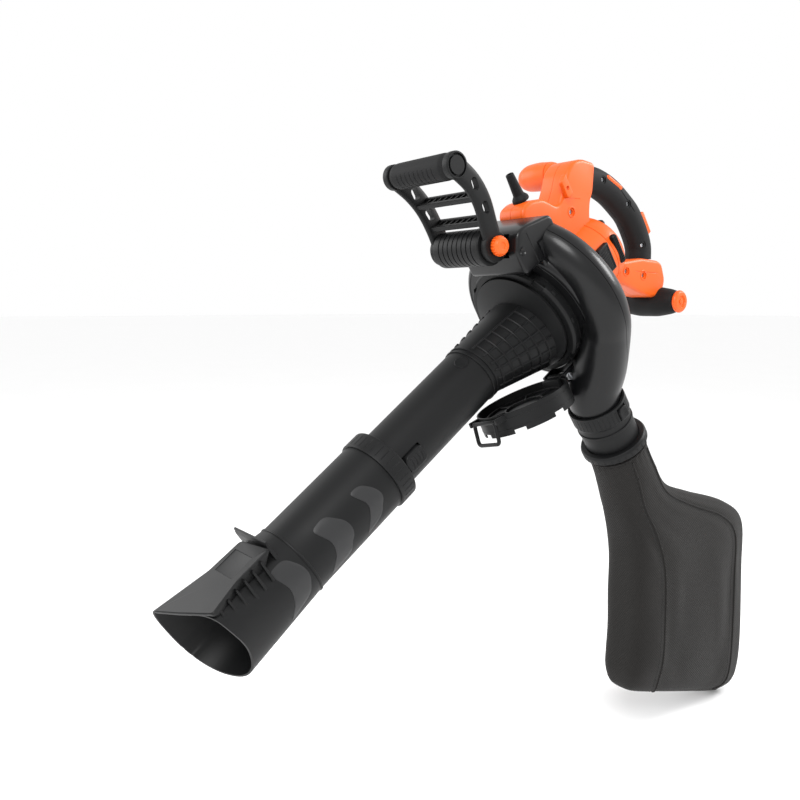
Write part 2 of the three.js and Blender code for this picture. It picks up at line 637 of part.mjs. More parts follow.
/** Two lugs on the casing's front face that carry the door's pin. */
function doorLugs() {
  return [-25, 18.4].map((x) => block(
    vec(DOOR_PIN.x + x, DOOR_PIN.y - 6, DOOR_PIN.z - 8),
    vec(DOOR_PIN.x + x + 6.6, DRUM_FRONT + 1, DOOR_PIN.z + 8),
  )).map(swung);
}

// ---------------------------------------------------------------- outlet and bag
function buildOutlet() {
  const axis = vec(OUTLET.x, OUTLET.y, 0);
  const sleeve = turned([[40.2, -154], [44.5, -154], [44.5, -178], [42, -182], [42, -237], [38.5, -237],
    [38.5, -173], [40.2, -173]], 'z', axis, 24);
  const latchRoom = block(vec(104, 20, -180), vec(120, 40, -158));
  addPart('bag_adapter', cut(sleeve, casingKeepOut, latchRoom), 'black');
  const tab = [[21, -179], [39, -179], [39, -163], [34, -159], [26, -159], [21, -163]];
  addPart('adapter_latch', sidePlate(tab, 3, 1).translate([108, 0, 0]), 'black');
  const ring = [[42.4, -226], [50, -226], [52, -230], [52, -239], [42.4, -239]];
  addPart('bag_ring', turned(ring, 'z', axis, 24), 'black');
}

/** Cross-sections of the bag from neck to bottom: front edge, back edge as [y, z], half thickness. */
const BAG_SECTIONS = [
  [[128, -205.5], [202.6, -152], 46, 2],
  [[146, -240], [238, -205], 46, 2.1],
  [[166, -290], [274, -249], 47, 2.5],
  [[183, -335], [352, -277], 50, 3],
  [[192, -385], [452, -306], BAG_HALF, 3.6],
  [[194, -435], [506, -345], BAG_HALF, 4],
  [[193, -485], [514, -430], BAG_HALF, 4],
  [[190, -535], [518, -540], BAG_HALF, 4],
  [[188, -562], [520, -622], 47, 4],
  [[194, -584], [514, -662], 36, 4],
  [[212, -596], [490, -680], 14, 3.5],
];

function bagSkin(inset, overrun) {
  const loops = BAG_SECTIONS.map(([[y1, z1], [y2, z2], half, power]) => {
    const span = vec(0, (y2 - y1) / 2, (z2 - z1) / 2);
    span.setLength(span.length() - inset);
    const centre = vec(OUTLET.x, (y1 + y2) / 2, (z1 + z2) / 2);
    return ovalLoop(centre, span, vec(half - inset, 0, 0), 16, power);
  });
  if (overrun > 0) {
    const out = vec(0, -0.583, 0.812).multiplyScalar(overrun);
    loops.unshift(loops[0].map((p) => p.clone().add(out)));
    loops[loops.length - 1] = loops.at(-1).map((p) => p.clone().add(vec(0, 0, inset)));
  }
  return loft(loops);
}

function buildBag() {
  addPart('bag', cut(bagSkin(0, 0), bagSkin(2, 6)), 'fabric', hanging);
}

// ---------------------------------------------------------------- assembly
buildCasing();
buildMotor();
buildHousing();
buildControls();
buildPivot();
buildSecondHandle();
buildTube();
buildDoor();
buildOutlet();
buildBag();

const extent = new THREE.Box3().setFromObject(object, true);
const middle = extent.getCenter(vec(0, 0, 0));
object.position.set(-middle.x, -middle.y, -extent.min.z);

export default object;
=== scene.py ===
"""Finish of a handheld leaf blower and vacuum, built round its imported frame.

Shapes are built in machine millimetres (X right, Y along the motor shaft with the suction tube
towards -Y, Z away from the outlet) and then placed in the frame, which leans by LEAN about X.
The bag hangs straight down, so it is built in millimetres of the upright frame instead.
"""
from __future__ import annotations

import json
import logging
import math
from dataclasses import dataclass, field
from enum import Enum
from typing import Iterable, Sequence

import bmesh
import bpy
import numpy as np
from mathutils import Matrix, Vector
from mathutils.bvhtree import BVHTree


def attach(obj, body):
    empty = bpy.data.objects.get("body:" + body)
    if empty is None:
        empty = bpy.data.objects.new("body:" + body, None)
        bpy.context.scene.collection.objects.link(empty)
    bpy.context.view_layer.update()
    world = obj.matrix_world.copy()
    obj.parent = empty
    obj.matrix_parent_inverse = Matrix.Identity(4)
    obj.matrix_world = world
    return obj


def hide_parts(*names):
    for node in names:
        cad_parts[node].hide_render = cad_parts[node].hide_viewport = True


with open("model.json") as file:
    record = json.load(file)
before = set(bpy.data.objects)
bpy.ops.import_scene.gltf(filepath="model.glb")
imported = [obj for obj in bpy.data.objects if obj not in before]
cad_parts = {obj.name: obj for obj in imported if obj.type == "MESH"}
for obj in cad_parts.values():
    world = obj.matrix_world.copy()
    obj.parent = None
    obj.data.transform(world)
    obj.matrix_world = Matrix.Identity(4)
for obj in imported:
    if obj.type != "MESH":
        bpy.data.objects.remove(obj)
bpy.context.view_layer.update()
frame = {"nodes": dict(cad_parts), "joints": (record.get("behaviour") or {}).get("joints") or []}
log = logging.getLogger("blower")

LEAN = math.radians(35.7)
SHAFT_POINT = Vector((0.0, 0.120, 0.0))
MM = 0.001
GAP = 0.35
SMOOTH_ANGLE = math.radians(34)
Point = Sequence[float]


def shaft_origin() -> Vector:
    """Returns the machine frame's origin in the row frame, from the rotor joint's place."""
    rotor = next(j for j in frame["joints"] if j["name"] == "rotor_spin")
    return Vector(rotor["pos_m"]) - Matrix.Rotation(LEAN, 3, "X") @ SHAFT_POINT


ORIGIN = shaft_origin()
MACHINE = Matrix.Translation(ORIGIN) @ Matrix.Rotation(LEAN, 4, "X") @ Matrix.Scale(MM, 4)
HANGING = Matrix.Translation(ORIGIN) @ Matrix.Scale(MM, 4)


class Axis(Enum):
    """Direction that a turned shape goes round."""

    X = 0
    Y = 1
    Z = 2


class Slot(Enum):
    """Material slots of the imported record."""

    ORANGE = "orange_shell"
    BLACK = "black_shell"
    GLOSS = "dark_casing"
    SOFT = "soft_grip"
    CLOTH = "bag_cloth"
    STEEL = "steel"
    COPPER = "copper"


# ---------------------------------------------------------------- shader expressions
class Signal:
    """A node socket that arithmetic can be written on; each operator adds a Math node."""

    def __init__(self, recipe: "Recipe", socket: bpy.types.NodeSocket) -> None:
        """Wraps `socket` of a node in `recipe`."""
        self.recipe = recipe
        self.socket = socket

    def _math(self, operation: str, *values: object) -> "Signal":
        """Returns the result of a Math node.

        Args:
            operation: The Math node's operation.
            values: Its inputs, in order, as signals or numbers.

        Returns:
            The node's value.
        """
        return self.recipe.node("ShaderNodeMath", {"operation": operation}, dict(enumerate(values)))

    def __add__(self, other: object) -> "Signal":
        """Sum."""
        return self._math("ADD", self, other)

    __radd__ = __add__

    def __mul__(self, other: object) -> "Signal":
        """Product."""
        return self._math("MULTIPLY", self, other)

    __rmul__ = __mul__

    def __sub__(self, other: object) -> "Signal":
        """Difference."""
        return self._math("SUBTRACT", self, other)

    def __rsub__(self, other: object) -> "Signal":
        """Difference, reflected."""
        return self._math("SUBTRACT", other, self)

    def sine(self) -> "Signal":
        """Sine."""
        return self._math("SINE", self)

    def part(self, name: str) -> "Signal":
        """Another output of the same node, by name."""
        return Signal(self.recipe, self.socket.node.outputs[name])


class Recipe:
    """A material under construction, with one method that adds any node."""

    def __init__(self, name: str) -> None:
        """Starts an empty material called `name`."""
        self.material = bpy.data.materials.new(name)
        self.material.use_nodes = True
        self.tree = self.material.node_tree
        self.tree.nodes.clear()

    def node(self, kind: str, settings: dict | None = None, inputs: dict | None = None) -> Signal:
        """Adds one node.

        Args:
            kind: The node's type.
            settings: Properties set before its sockets.
            inputs: Socket values or signals, by name or index.

        Returns:
            The node's first output, or its first input where it has no output.
        """
        made = self.tree.nodes.new(kind)
        for key, value in (settings or {}).items():
            setattr(made, key, value)
        for key, value in (inputs or {}).items():
            if isinstance(value, Signal):
                self.tree.links.new(value.socket, made.inputs[key])
            else:
                made.inputs[key].default_value = value
        return Signal(self, made.outputs[0] if made.outputs else made.inputs[0])

    def place(self) -> Signal:
        """Object coordinates, which are metres in the row frame."""
        return self.node("ShaderNodeTexCoord").part("Object")

    def noise(self, scale: float, detail: float = 2.0, stretch: Point = (1, 1, 1)) -> Signal:
        """Adds a noise pattern.

        Args:
            scale: Features per metre.
            detail: Octaves of finer noise.
            stretch: Scale of each axis.

        Returns:
            The noise value.
        """
        mapped = self.node("ShaderNodeMapping", {}, {"Vector": self.place(), "Scale": stretch})
        return self.node("ShaderNodeTexNoise", {}, {"Vector": mapped, "Scale": scale, "Detail": detail})

    def mix(self, share: object, low: Point, high: Point) -> Signal:
        """Mixes two colours.

        Args:
            share: How much of `high` shows, from 0 to 1.
            low: Colour at 0.
            high: Colour at 1.

        Returns:
            The mixed colour.
        """
        made = self.tree.nodes.new("ShaderNodeMix")
        made.data_type = "RGBA"
        sockets = {s.identifier: s for s in made.inputs}
        if isinstance(share, Signal):
            self.tree.links.new(share.socket, sockets["Factor_Float"])
        else:
            sockets["Factor_Float"].default_value = share
        for key, value in (("A_Color", low), ("B_Color", high)):
            sockets[key].default_value = (*value, 1.0)
        return Signal(self, next(o for o in made.outputs if o.identifier == "Result_Color"))

    def bump(self, height: Signal, depth: float, strength: float = 1.0) -> Signal:
        """Turns a height into a normal.

        Args:
            height: Height pattern, from 0 to 1.
            depth: Relief in metres.
            strength: Share of the relief that shows.

        Returns:
            The normal.
        """
        values = {"Height": height, "Distance": depth, "Strength": strength}
        return self.node("ShaderNodeBump", {}, values)

    def surface(self, **inputs: object) -> bpy.types.Material:
        """Ends the material in a Principled BSDF whose sockets are set by `inputs`."""
        named = {key.replace("_", " ").title(): value for key, value in inputs.items()}
        fixed = {"Specular Ior Level": "Specular IOR Level"}
        shader = self.node("ShaderNodeBsdfPrincipled", {}, {fixed.get(k, k): v for k, v in named.items()})
        self.node("ShaderNodeOutputMaterial", {}, {"Surface": shader})
        return self.material


@dataclass(frozen=True)
class MouldedPlastic:
    """Injection-moulded plastic: a fine eroded grain, a faint mottle and uneven gloss."""

    name: str
    colour: Point
    roughness: float
    grain: float = 1500.0
    depth: float = 0.00006
    coat: float = 0.0
    mottle: float = 0.12
    specular: float = 0.5

    def build(self) -> bpy.types.Material:
        """Returns the material."""
        recipe = Recipe(self.name)
        patches = recipe.noise(14.0, 4.0)
        fine = recipe.noise(self.grain, 2.0)
        speck = recipe.noise(420.0, 3.0)
        darker = [c * (1 - self.mottle) for c in self.colour]
        lighter = [min(1.0, c * (1 + self.mottle)) for c in self.colour]
        gloss = self.roughness + 0.08 * (patches - 0.5) + 0.03 * (speck - 0.5)
        return recipe.surface(
            base_color=recipe.mix(0.65 * patches + 0.35 * speck, darker, lighter),
            roughness=gloss, normal=recipe.bump(fine, self.depth, 0.5),
            coat_weight=self.coat, coat_roughness=0.12, specular_ior_level=self.specular,
        )


@dataclass(frozen=True)
class WovenCloth:
    """Plain-woven polyester: over and under threads, slubs and slight fading."""

    name: str
    colour: Point
    threads: float = 430.0

    def build(self) -> bpy.types.Material:
        """Returns the material."""
        recipe = Recipe(self.name)
        axes = recipe.node("ShaderNodeSeparateXYZ", {}, {"Vector": recipe.place()})
        across = (axes.part("X") + axes.part("Y")) * (math.pi * self.threads)
        along = axes.part("Z") * (math.pi * self.threads)
        slub = recipe.noise(900.0, 2.0, (1, 1, 0.15))
        fade = recipe.noise(9.0, 4.0)
        weave = across.sine() * along.sine()
        height = 0.5 + 0.38 * weave + 0.3 * (slub - 0.5)
        pale = [min(1.0, c * 2.6) for c in self.colour]
        dark = [c * 0.62 for c in self.colour]
        return recipe.surface(
            base_color=recipe.mix(0.36 * height + 0.3 * fade + 0.25 * slub, dark, pale),
            roughness=0.80 + 0.12 * height, normal=recipe.bump(height, 0.0009, 0.8),
            sheen_weight=0.06, sheen_roughness=0.5, specular_ior_level=0.15,
        )


@dataclass(frozen=True)
class TurnedMetal:
    """Plain metal with fine tool marks."""

    name: str
    colour: Point
    roughness: float = 0.32

    def build(self) -> bpy.types.Material:
        """Returns the material."""
        recipe = Recipe(self.name)
        marks = recipe.noise(700.0, 3.0, (1.0, 0.08, 1.0))
        stain = recipe.noise(60.0, 4.0)
        dull = [c * 0.72 for c in self.colour]
        return recipe.surface(
            base_color=recipe.mix(stain, dull, self.colour), metallic=1.0,
            roughness=self.roughness + 0.16 * (marks - 0.5) + 0.12 * (stain - 0.5),
            normal=recipe.bump(marks, 0.00003, 0.5),
        )


# ---------------------------------------------------------------- outlines and curves
def softened(points: Sequence[Point], radius: float, closed: bool = True, steps: int = 5) -> list[Vector]:
    """Rounds the corners of a line.

    Args:
        points: Corners, in two or three dimensions.
        radius: How far from each corner the rounding starts, where there is room.
        closed: Whether the last point joins the first.
        steps: Points on each rounded corner, less one.

    Returns:
        The rounded line.
    """
    corners = [Vector(p) for p in points]
    count = len(corners)
    result: list[Vector] = []
    for i, corner in enumerate(corners):
        if not closed and i in (0, count - 1):
            result.append(corner)
            continue
        before, after = corners[i - 1] - corner, corners[(i + 1) % count] - corner
        reach = min(radius, before.length * 0.46, after.length * 0.46)
        start, end = corner + before.normalized() * reach, corner + after.normalized() * reach
        for k in range(steps + 1):
            t = k / steps
            result.append(start * (1 - t) ** 2 + corner * 2 * t * (1 - t) + end * t * t)
    return result


def smooth_step(a: object, b: object, c: object, d: object, t: float) -> object:
    """Returns the point at share `t` from `b` to `c` on the smooth curve through a, b, c and d."""
    square, cube = 2 * a - 5 * b + 4 * c - d, 3 * b - a - 3 * c + d
    return 0.5 * (2 * b + (c - a) * t + square * t * t + cube * t ** 3)


def curve_through(points: Sequence[Point], count: int) -> list[Vector]:
    """Returns `count` evenly spaced points on a smooth curve through `points`."""
    knots = [Vector(p) for p in points]
    knots = [knots[0] * 2 - knots[1], *knots, knots[-1] * 2 - knots[-2]]
    dense: list[Vector] = []
    for a, b, c, d in zip(knots, knots[1:], knots[2:], knots[3:]):
        dense += [smooth_step(a, b, c, d, k / 24) for k in range(24)]
    dense.append(knots[-2])
    lengths = np.cumsum([0.0] + [(q - p).length for p, q in zip(dense, dense[1:])])
    table = np.array([list(p) for p in dense])
    places = np.linspace(0, lengths[-1], count)
    return [Vector([np.interp(s, lengths, table[:, k]) for k in range(table.shape[1])]) for s in places]


def oval(centre: Point, u: Point, v: Point, count: int = 48, power: float = 2.0) -> list[Vector]:
    """Returns a super-ellipse loop round `centre`, spanned by the half-axes `u` and `v`."""
    middle, first, second = Vector(centre), Vector(u), Vector(v)
    loop = []
    for i in range(count):
        angle = 2 * math.pi * i / count
        c, s = math.cos(angle), math.sin(angle)
        a = math.copysign(abs(c) ** (2 / power), c)
        b = math.copysign(abs(s) ** (2 / power), s)
        loop.append(middle + first * a + second * b)
    return loop


# ---------------------------------------------------------------- solids
class Solid:
    """A closed shape in millimetres; `+`, `-` and `&` join, cut and keep what is common."""

    def __init__(self, mesh: bpy.types.Mesh) -> None:
        """Takes over `mesh`."""
        self.mesh = mesh

    @classmethod
    def of(cls, points: Iterable[Point], faces: Iterable[Sequence[int]]) -> "Solid":
        """Makes a solid from points and faces.

        Args:
            points: Corners.
            faces: Corner numbers of each face, all turning the same way.

        Returns:
            The solid, with its faces pointing out.
        """
        mesh = bpy.data.meshes.new("solid")
        mesh.from_pydata([tuple(p) for p in points], [], [tuple(f) for f in faces])
        work = bmesh.new()
        work.from_mesh(mesh)
        bmesh.ops.triangulate(work, faces=[f for f in work.faces if len(f.verts) > 4])
        if work.calc_volume(signed=True) < 0:
            bmesh.ops.reverse_faces(work, faces=work.faces)
        work.to_mesh(mesh)
        work.free()
        return cls(mesh)

    def _combine(self, others: Sequence["Solid"], operation: str) -> "Solid":
        """Runs one boolean operation with each of `others` in turn and returns the result."""
        host = bpy.data.objects.new("host", self.mesh)
        bpy.context.scene.collection.objects.link(host)
        tools = []
        for other in others:
            tool = bpy.data.objects.new("tool", other.mesh)
            bpy.context.scene.collection.objects.link(tool)
            modifier = host.modifiers.new("combine", "BOOLEAN")
            modifier.operation = operation
            modifier.object = tool
            modifier.solver = "MANIFOLD"
            tools.append(tool)
        depsgraph = bpy.context.evaluated_depsgraph_get()
        mesh = bpy.data.meshes.new_from_object(host.evaluated_get(depsgraph))
        for done in [host, *tools]:
            bpy.data.objects.remove(done)
        return Solid(mesh)

    def __add__(self, other: "Solid") -> "Solid":
        """Join."""
        return self._combine([other], "UNION")

    def __sub__(self, other: "Solid") -> "Solid":
        """Cut."""
        return self._combine([other], "DIFFERENCE")

    def __and__(self, other: "Solid") -> "Solid":
        """Common part."""
        return self._combine([other], "INTERSECT")

    def join(self, *others: "Solid") -> "Solid":
        """Joins several solids at once."""
        return self._combine(others, "UNION")

    def cut(self, *others: "Solid") -> "Solid":
        """Cuts several solids at once."""
        return self._combine(others, "DIFFERENCE")

    def moved(self, matrix: Matrix) -> "Solid":
        """Returns a copy moved by `matrix`, with its faces still pointing out."""
        mesh = self.mesh.copy()
        mesh.transform(matrix)
        if matrix.determinant() < 0:
            mesh.flip_normals()
        return Solid(mesh)

    def shifted(self, x: float = 0.0, y: float = 0.0, z: float = 0.0) -> "Solid":
        """Returns a copy shifted by x, y and z."""
        return self.moved(Matrix.Translation((x, y, z)))

    def mirrored(self) -> "Solid":
        """Returns the mirror image across X."""
        return self.moved(Matrix.Diagonal((-1, 1, 1, 1)))


def loft(loops: Sequence[Sequence[Point]], capped: bool = True) -> Solid:
    """Skins a solid over loops.

    Args:
        loops: Closed loops with the same number of points.
        capped: Whether the ends are closed; without it the last loop joins the first.

    Returns:
        The solid.
    """
    count = len(loops[0])
    points = [Vector(p) for loop in loops for p in loop]
    rows = len(loops) - 1 if capped else len(loops)
    faces: list[tuple[int, ...]] = []
    for row in range(rows):
        low, high = row * count, ((row + 1) % len(loops)) * count
        for i in range(count):
            j = (i + 1) % count
            faces.append((low + i, low + j, high + j, high + i))
    if capped:
        for start, flip in ((0, True), (len(points) - count, False)):
            hub = len(points)
            points.append(sum((points[start + i] for i in range(count)), Vector((0, 0, 0))) / count)
            for i in range(count):
                pair = (start + i, start + (i + 1) % count)
                faces.append((*(reversed(pair) if flip else pair), hub))
    return Solid.of(points, faces)


def turned(profile: Sequence[Point], axis: Axis = Axis.Y, origin: Point = (0, 0, 0), segments: int = 96,
           soft: float = 0.0) -> Solid:
    """Turns a profile round an axis.

    Args:
        profile: [radius, station] points; it closes on itself unless it starts on the axis.
        axis: Direction of the axis.
        origin: A point on the axis.
        segments: Faces round it.
        soft: Rounding of the profile's corners.

    Returns:
        The solid of revolution.
    """
    on_axis = profile[0][0] == 0
    line = softened(profile, soft, closed=not on_axis, steps=4) if soft > 0 else [Vector(p) for p in profile]
    names = {Axis.X: (1, 2, 0), Axis.Y: (2, 0, 1), Axis.Z: (0, 1, 2)}[axis]
    base = Vector(origin)

    def at(radius: float, station: float, angle: float) -> Vector:
        """Point at a radius, station and angle."""
        point = Vector((0, 0, 0))
        point[names[0]] = radius * math.cos(angle)
        point[names[1]] = radius * math.sin(angle)
        point[names[2]] = station
        return base + point

    if not on_axis:
        loops = [[at(r, s, 2 * math.pi * i / segments) for i in range(segments)] for r, s in line]
        return loft(loops, capped=False)
    body = line[1:-1]
    points = [at(r, s, 2 * math.pi * i / segments) for r, s in body for i in range(segments)]
    faces: list[tuple[int, ...]] = []
    for row in range(len(body) - 1):
        for i in range(segments):
            j = (i + 1) % segments
            faces.append((row * segments + i, row * segments + j, (row + 1) * segments + j,
                          (row + 1) * segments + i))
    last = (len(body) - 1) * segments
    points += [at(0, line[0][1], 0), at(0, line[-1][1], 0)]
    for i in range(segments):
        j = (i + 1) % segments
        faces.append((j, i, len(points) - 2))
        faces.append((last + i, last + j, len(points) - 1))
    return Solid.of(points, faces)


def rod(radius: float, start: float, end: float, axis: Axis = Axis.Y, origin: Point = (0, 0, 0),
        segments: int = 40, soft: float = 0.0) -> Solid:
    """Returns a round bar from `start` to `end` along an axis, with rounded rims where `soft` is set."""
    return turned([[0, start], [radius, start], [radius, end], [0, end]], axis, origin, segments, soft)


def block(low: Point, high: Point, soft: float = 0.0) -> Solid:
    """Returns a box between two corners, with edges rounded by `soft`."""
    mesh = bpy.data.meshes.new("block")
    work = bmesh.new()
    bmesh.ops.create_cube(work, size=1.0)
    size = [b - a for a, b in zip(low, high)]
    middle = [(a + b) / 2 for a, b in zip(low, high)]
    placed = Matrix.Translation(middle) @ Matrix.Diagonal((*size, 1))
    bmesh.ops.transform(work, matrix=placed, verts=work.verts)
    if soft > 0:
        bmesh.ops.bevel(work, geom=work.edges[:], offset=soft, segments=3, profile=0.5, affect="EDGES")
    work.to_mesh(mesh)
    work.free()
    return Solid(mesh)


def plate(outline: Sequence[Point], half: float, edge: float = 0.0, corner: float = 3.0) -> Solid:
    """Makes a slab across X with rounded edges.

    Args:
        outline: [y, z] corners.
        half: Half thickness.
        edge: Rounding of the edges between the faces and the rim.
        corner: Rounding of the outline, at least as large as the edge's.

    Returns:
        The slab, centred on X = 0.
    """
    line = softened(outline, max(corner, edge * 1.4), steps=6)
    area = sum(a.x * b.y - b.x * a.y for a, b in zip(line, line[1:] + line[:1]))
    sign = 1.0 if area > 0 else -1.0
    normals = []
    for i in range(len(line)):
        along = line[(i + 1) % len(line)] - line[i - 1]
        normals.append(Vector((along.y, -along.x)).normalized() * sign)
    steps = 5 if edge > 0 else 0
    rims = [(half, 0.0)]
    if edge > 0:
        turns = [k / steps * math.pi / 2 for k in range(steps + 1)]
        rims = [(half - edge + edge * math.sin(t), edge * (1 - math.cos(t))) for t in turns]
    rows = [(-x, inset) for x, inset in reversed(rims)] + rims
    loops = [[(x, p.x - n.x * inset, p.y - n.y * inset) for p, n in zip(line, normals)] for x, inset in rows]
    count = len(line)
    points = [Vector(p) for loop in loops for p in loop]
    faces: list[tuple[int, ...]] = []
    for row in range(len(loops) - 1):
        for i in range(count):
            j = (i + 1) % count
            faces.append((row * count + i, row * count + j, (row + 1) * count + j, (row + 1) * count + i))
    last = (len(loops) - 1) * count
    faces.append(tuple(reversed(range(count))))
    faces.append(tuple(range(last, last + count)))
    return Solid.of(points, faces)


def sweep(points: Sequence[Point], r1: float, r2: float, steps: int = 40, count: int = 40,
          power: float = 2.0) -> Solid:
    """Sweeps an oval along a curve.

    Args:
        points: Points that the curve goes through.
        r1: Half size square to the curve and to X.
        r2: Half size along X.
        steps: Stations along the curve.
        count: Points round the section.
        power: 2 for an ellipse, more for a squarer section.

    Returns:
        The bar.
    """
    line = curve_through(points, steps + 1)
    loops = []
    for i, centre in enumerate(line):
        along = (line[min(i + 1, steps)] - line[max(i - 1, 0)]).normalized()
        across = along.cross(Vector((1, 0, 0))).normalized()
        loops.append(oval(centre, across * r1, Vector((r2, 0, 0)), count, power))
    return loft(loops)


def bar(start: Point, end: Point, radius: float, count: int = 20) -> Solid:
    """Returns a round-ended bar between two points."""
    a, b = Vector(start), Vector(end)
    along = (b - a).normalized()
    side = Vector((1, 0, 0)) if abs(along.x) < 0.9 else Vector((0, 0, 1))
    u = along.cross(side).normalized()
    v = along.cross(u)
    loops = []
    for base, sense in ((a, 1), (b, -1)):
        angles = [15, 40, 65, 90] if sense > 0 else [90, 65, 40, 15]
        for degrees in angles:
            t = math.radians(degrees)
            centre = base + along * sense * radius * (1 - math.cos(t))
            loops.append(oval(centre, u * radius * math.sin(t), v * radius * math.sin(t), count))
    return loft(loops)


def tube_line(points: Sequence[Point], radius: float, count: int = 10) -> Solid:
    """Returns a thin round cord along `points`, square to its own path."""
    line = [Vector(p) for p in points]
    loops = []
    for i, centre in enumerate(line):
        along = (line[min(i + 1, len(line) - 1)] - line[max(i - 1, 0)]).normalized()
        side = Vector((0, 0, 1)) if abs(along.z) < 0.9 else Vector((1, 0, 0))
        u = along.cross(side).normalized()
        loops.append(oval(centre, u * radius, along.cross(u) * radius, count))
    return loft(loops)


BIG = 900.0  # larger than the object, for half-space cutters


# ---------------------------------------------------------------- repeats by geometry nodes
class GeometryTree:
    """A Geometry Nodes tree with named inputs, ending in Realize Instances and Set Material."""

    def __init__(self, name: str, kinds: dict[str, str]) -> None:
        """Args:
            name: Name of the tree.
            kinds: Socket type of each input; "Finish" is added to them.
        """
        self.name = name
        self.tree = bpy.data.node_groups.new(name, "GeometryNodeTree")
        face = self.tree.interface
        face.new_socket("Geometry", in_out="OUTPUT", socket_type="NodeSocketGeometry")
        self.sockets = {
            key: face.new_socket(key, in_out="INPUT", socket_type=f"NodeSocket{kind}").identifier
            for key, kind in {**kinds, "Finish": "Material"}.items()
        }
        self.given = self.tree.nodes.new("NodeGroupInput").outputs
        self.copies = self.tree.nodes.new("GeometryNodeInstanceOnPoints")

    def node(self, kind: str, links: dict | None = None, **settings: object) -> bpy.types.Node:
        """Adds one node.

        Args:
            kind: The node's type.
            links: Output socket for each linked input, by name or index.
            settings: Properties of the node.

        Returns:
            The node.
        """
        made = self.tree.nodes.new(kind)
        for key, value in settings.items():
            setattr(made, key, value)
        for key, output in (links or {}).items():
            self.tree.links.new(output, made.inputs[key])
        return made

    def finish(self, instances: bpy.types.NodeSocket) -> None:
        """Realizes `instances`, gives them the finish and ends the tree."""
        real = self.node("GeometryNodeRealizeInstances", {0: instances})
        dress = self.node("GeometryNodeSetMaterial",
                          {"Geometry": real.outputs[0], "Material": self.given["Finish"]})
        self.node("NodeGroupOutput", {0: dress.outputs[0]})

    def evaluate(self, data: bpy.types.ID, values: dict[str, object]) -> Solid:
        """Runs the tree on `data` and returns what it makes as one plain mesh."""
        host = bpy.data.objects.new(self.name, data)
        bpy.context.scene.collection.objects.link(host)
        modifier = host.modifiers.new(self.name, "NODES")
        modifier.node_group = self.tree
        for key, value in values.items():
            modifier[self.sockets[key]] = value
        depsgraph = bpy.context.evaluated_depsgraph_get()
        mesh = bpy.data.meshes.new_from_object(host.evaluated_get(depsgraph))
        bpy.data.objects.remove(host)
        return Solid(mesh)


class RepeatTree(GeometryTree):
    """Geometry Nodes that copy a shape along a step, round an axis, or both."""

    def __init__(self) -> None:
        """Builds the node tree."""
        super().__init__("repeat", {"Shape": "Geometry", "Count": "Int", "Step": "Vector", "Axis": "Vector",
                                    "Pivot": "Vector", "Turn": "Float"})
        given, link = self.given, self.tree.links.new
        points = self.node("GeometryNodePoints", {"Count": given["Count"]})
        index = self.node("GeometryNodeInputIndex").outputs[0]
        scale = self.node("ShaderNodeVectorMath", {0: given["Step"]}, operation="SCALE")
        link(index, scale.inputs["Scale"])
        angle = self.node("ShaderNodeMath", {0: index, 1: given["Turn"]}, operation="MULTIPLY")
        link(points.outputs[0], self.copies.inputs["Points"])
        link(given["Shape"], self.copies.inputs["Instance"])
        shift = self.node("GeometryNodeTranslateInstances",
                          {"Instances": self.copies.outputs[0], "Translation": scale.outputs[0]})
        spin = self.node("FunctionNodeAxisAngleToRotation",
                         {"Axis": given["Axis"], "Angle": angle.outputs[0]})
        turn = self.node("GeometryNodeRotateInstances",
                         {"Instances": shift.outputs[0], "Rotation": spin.outputs[0],
                          "Pivot Point": given["Pivot"]})
        for mover in (shift, turn):
            mover.inputs["Local Space"].default_value = False
        self.finish(turn.outputs[0])

    def run(self, shape: Solid, count: int, step: Point = (0, 0, 0), axis: Point = (0, 1, 0),
            pivot: Point = (0, 0, 0), turn: float = 0.0, finish: bpy.types.Material | None = None) -> Solid:
        """Copies a shape.

        Args:
            shape: What is copied.
            count: How many copies, the first one included.
            step: Shift from one copy to the next.
            axis: Axis that they turn round.
            pivot: A point on that axis.
            turn: Angle from one copy to the next, in degrees.
            finish: Material of the copies.

        Returns:
            All the copies as one plain mesh.
        """
        vectors = {"Step": step, "Axis": axis, "Pivot": pivot}
        values = {key: tuple(map(float, value)) for key, value in vectors.items()}
        values |= {"Count": count, "Turn": math.radians(turn), "Finish": finish}
        return self.evaluate(shape.mesh, values)


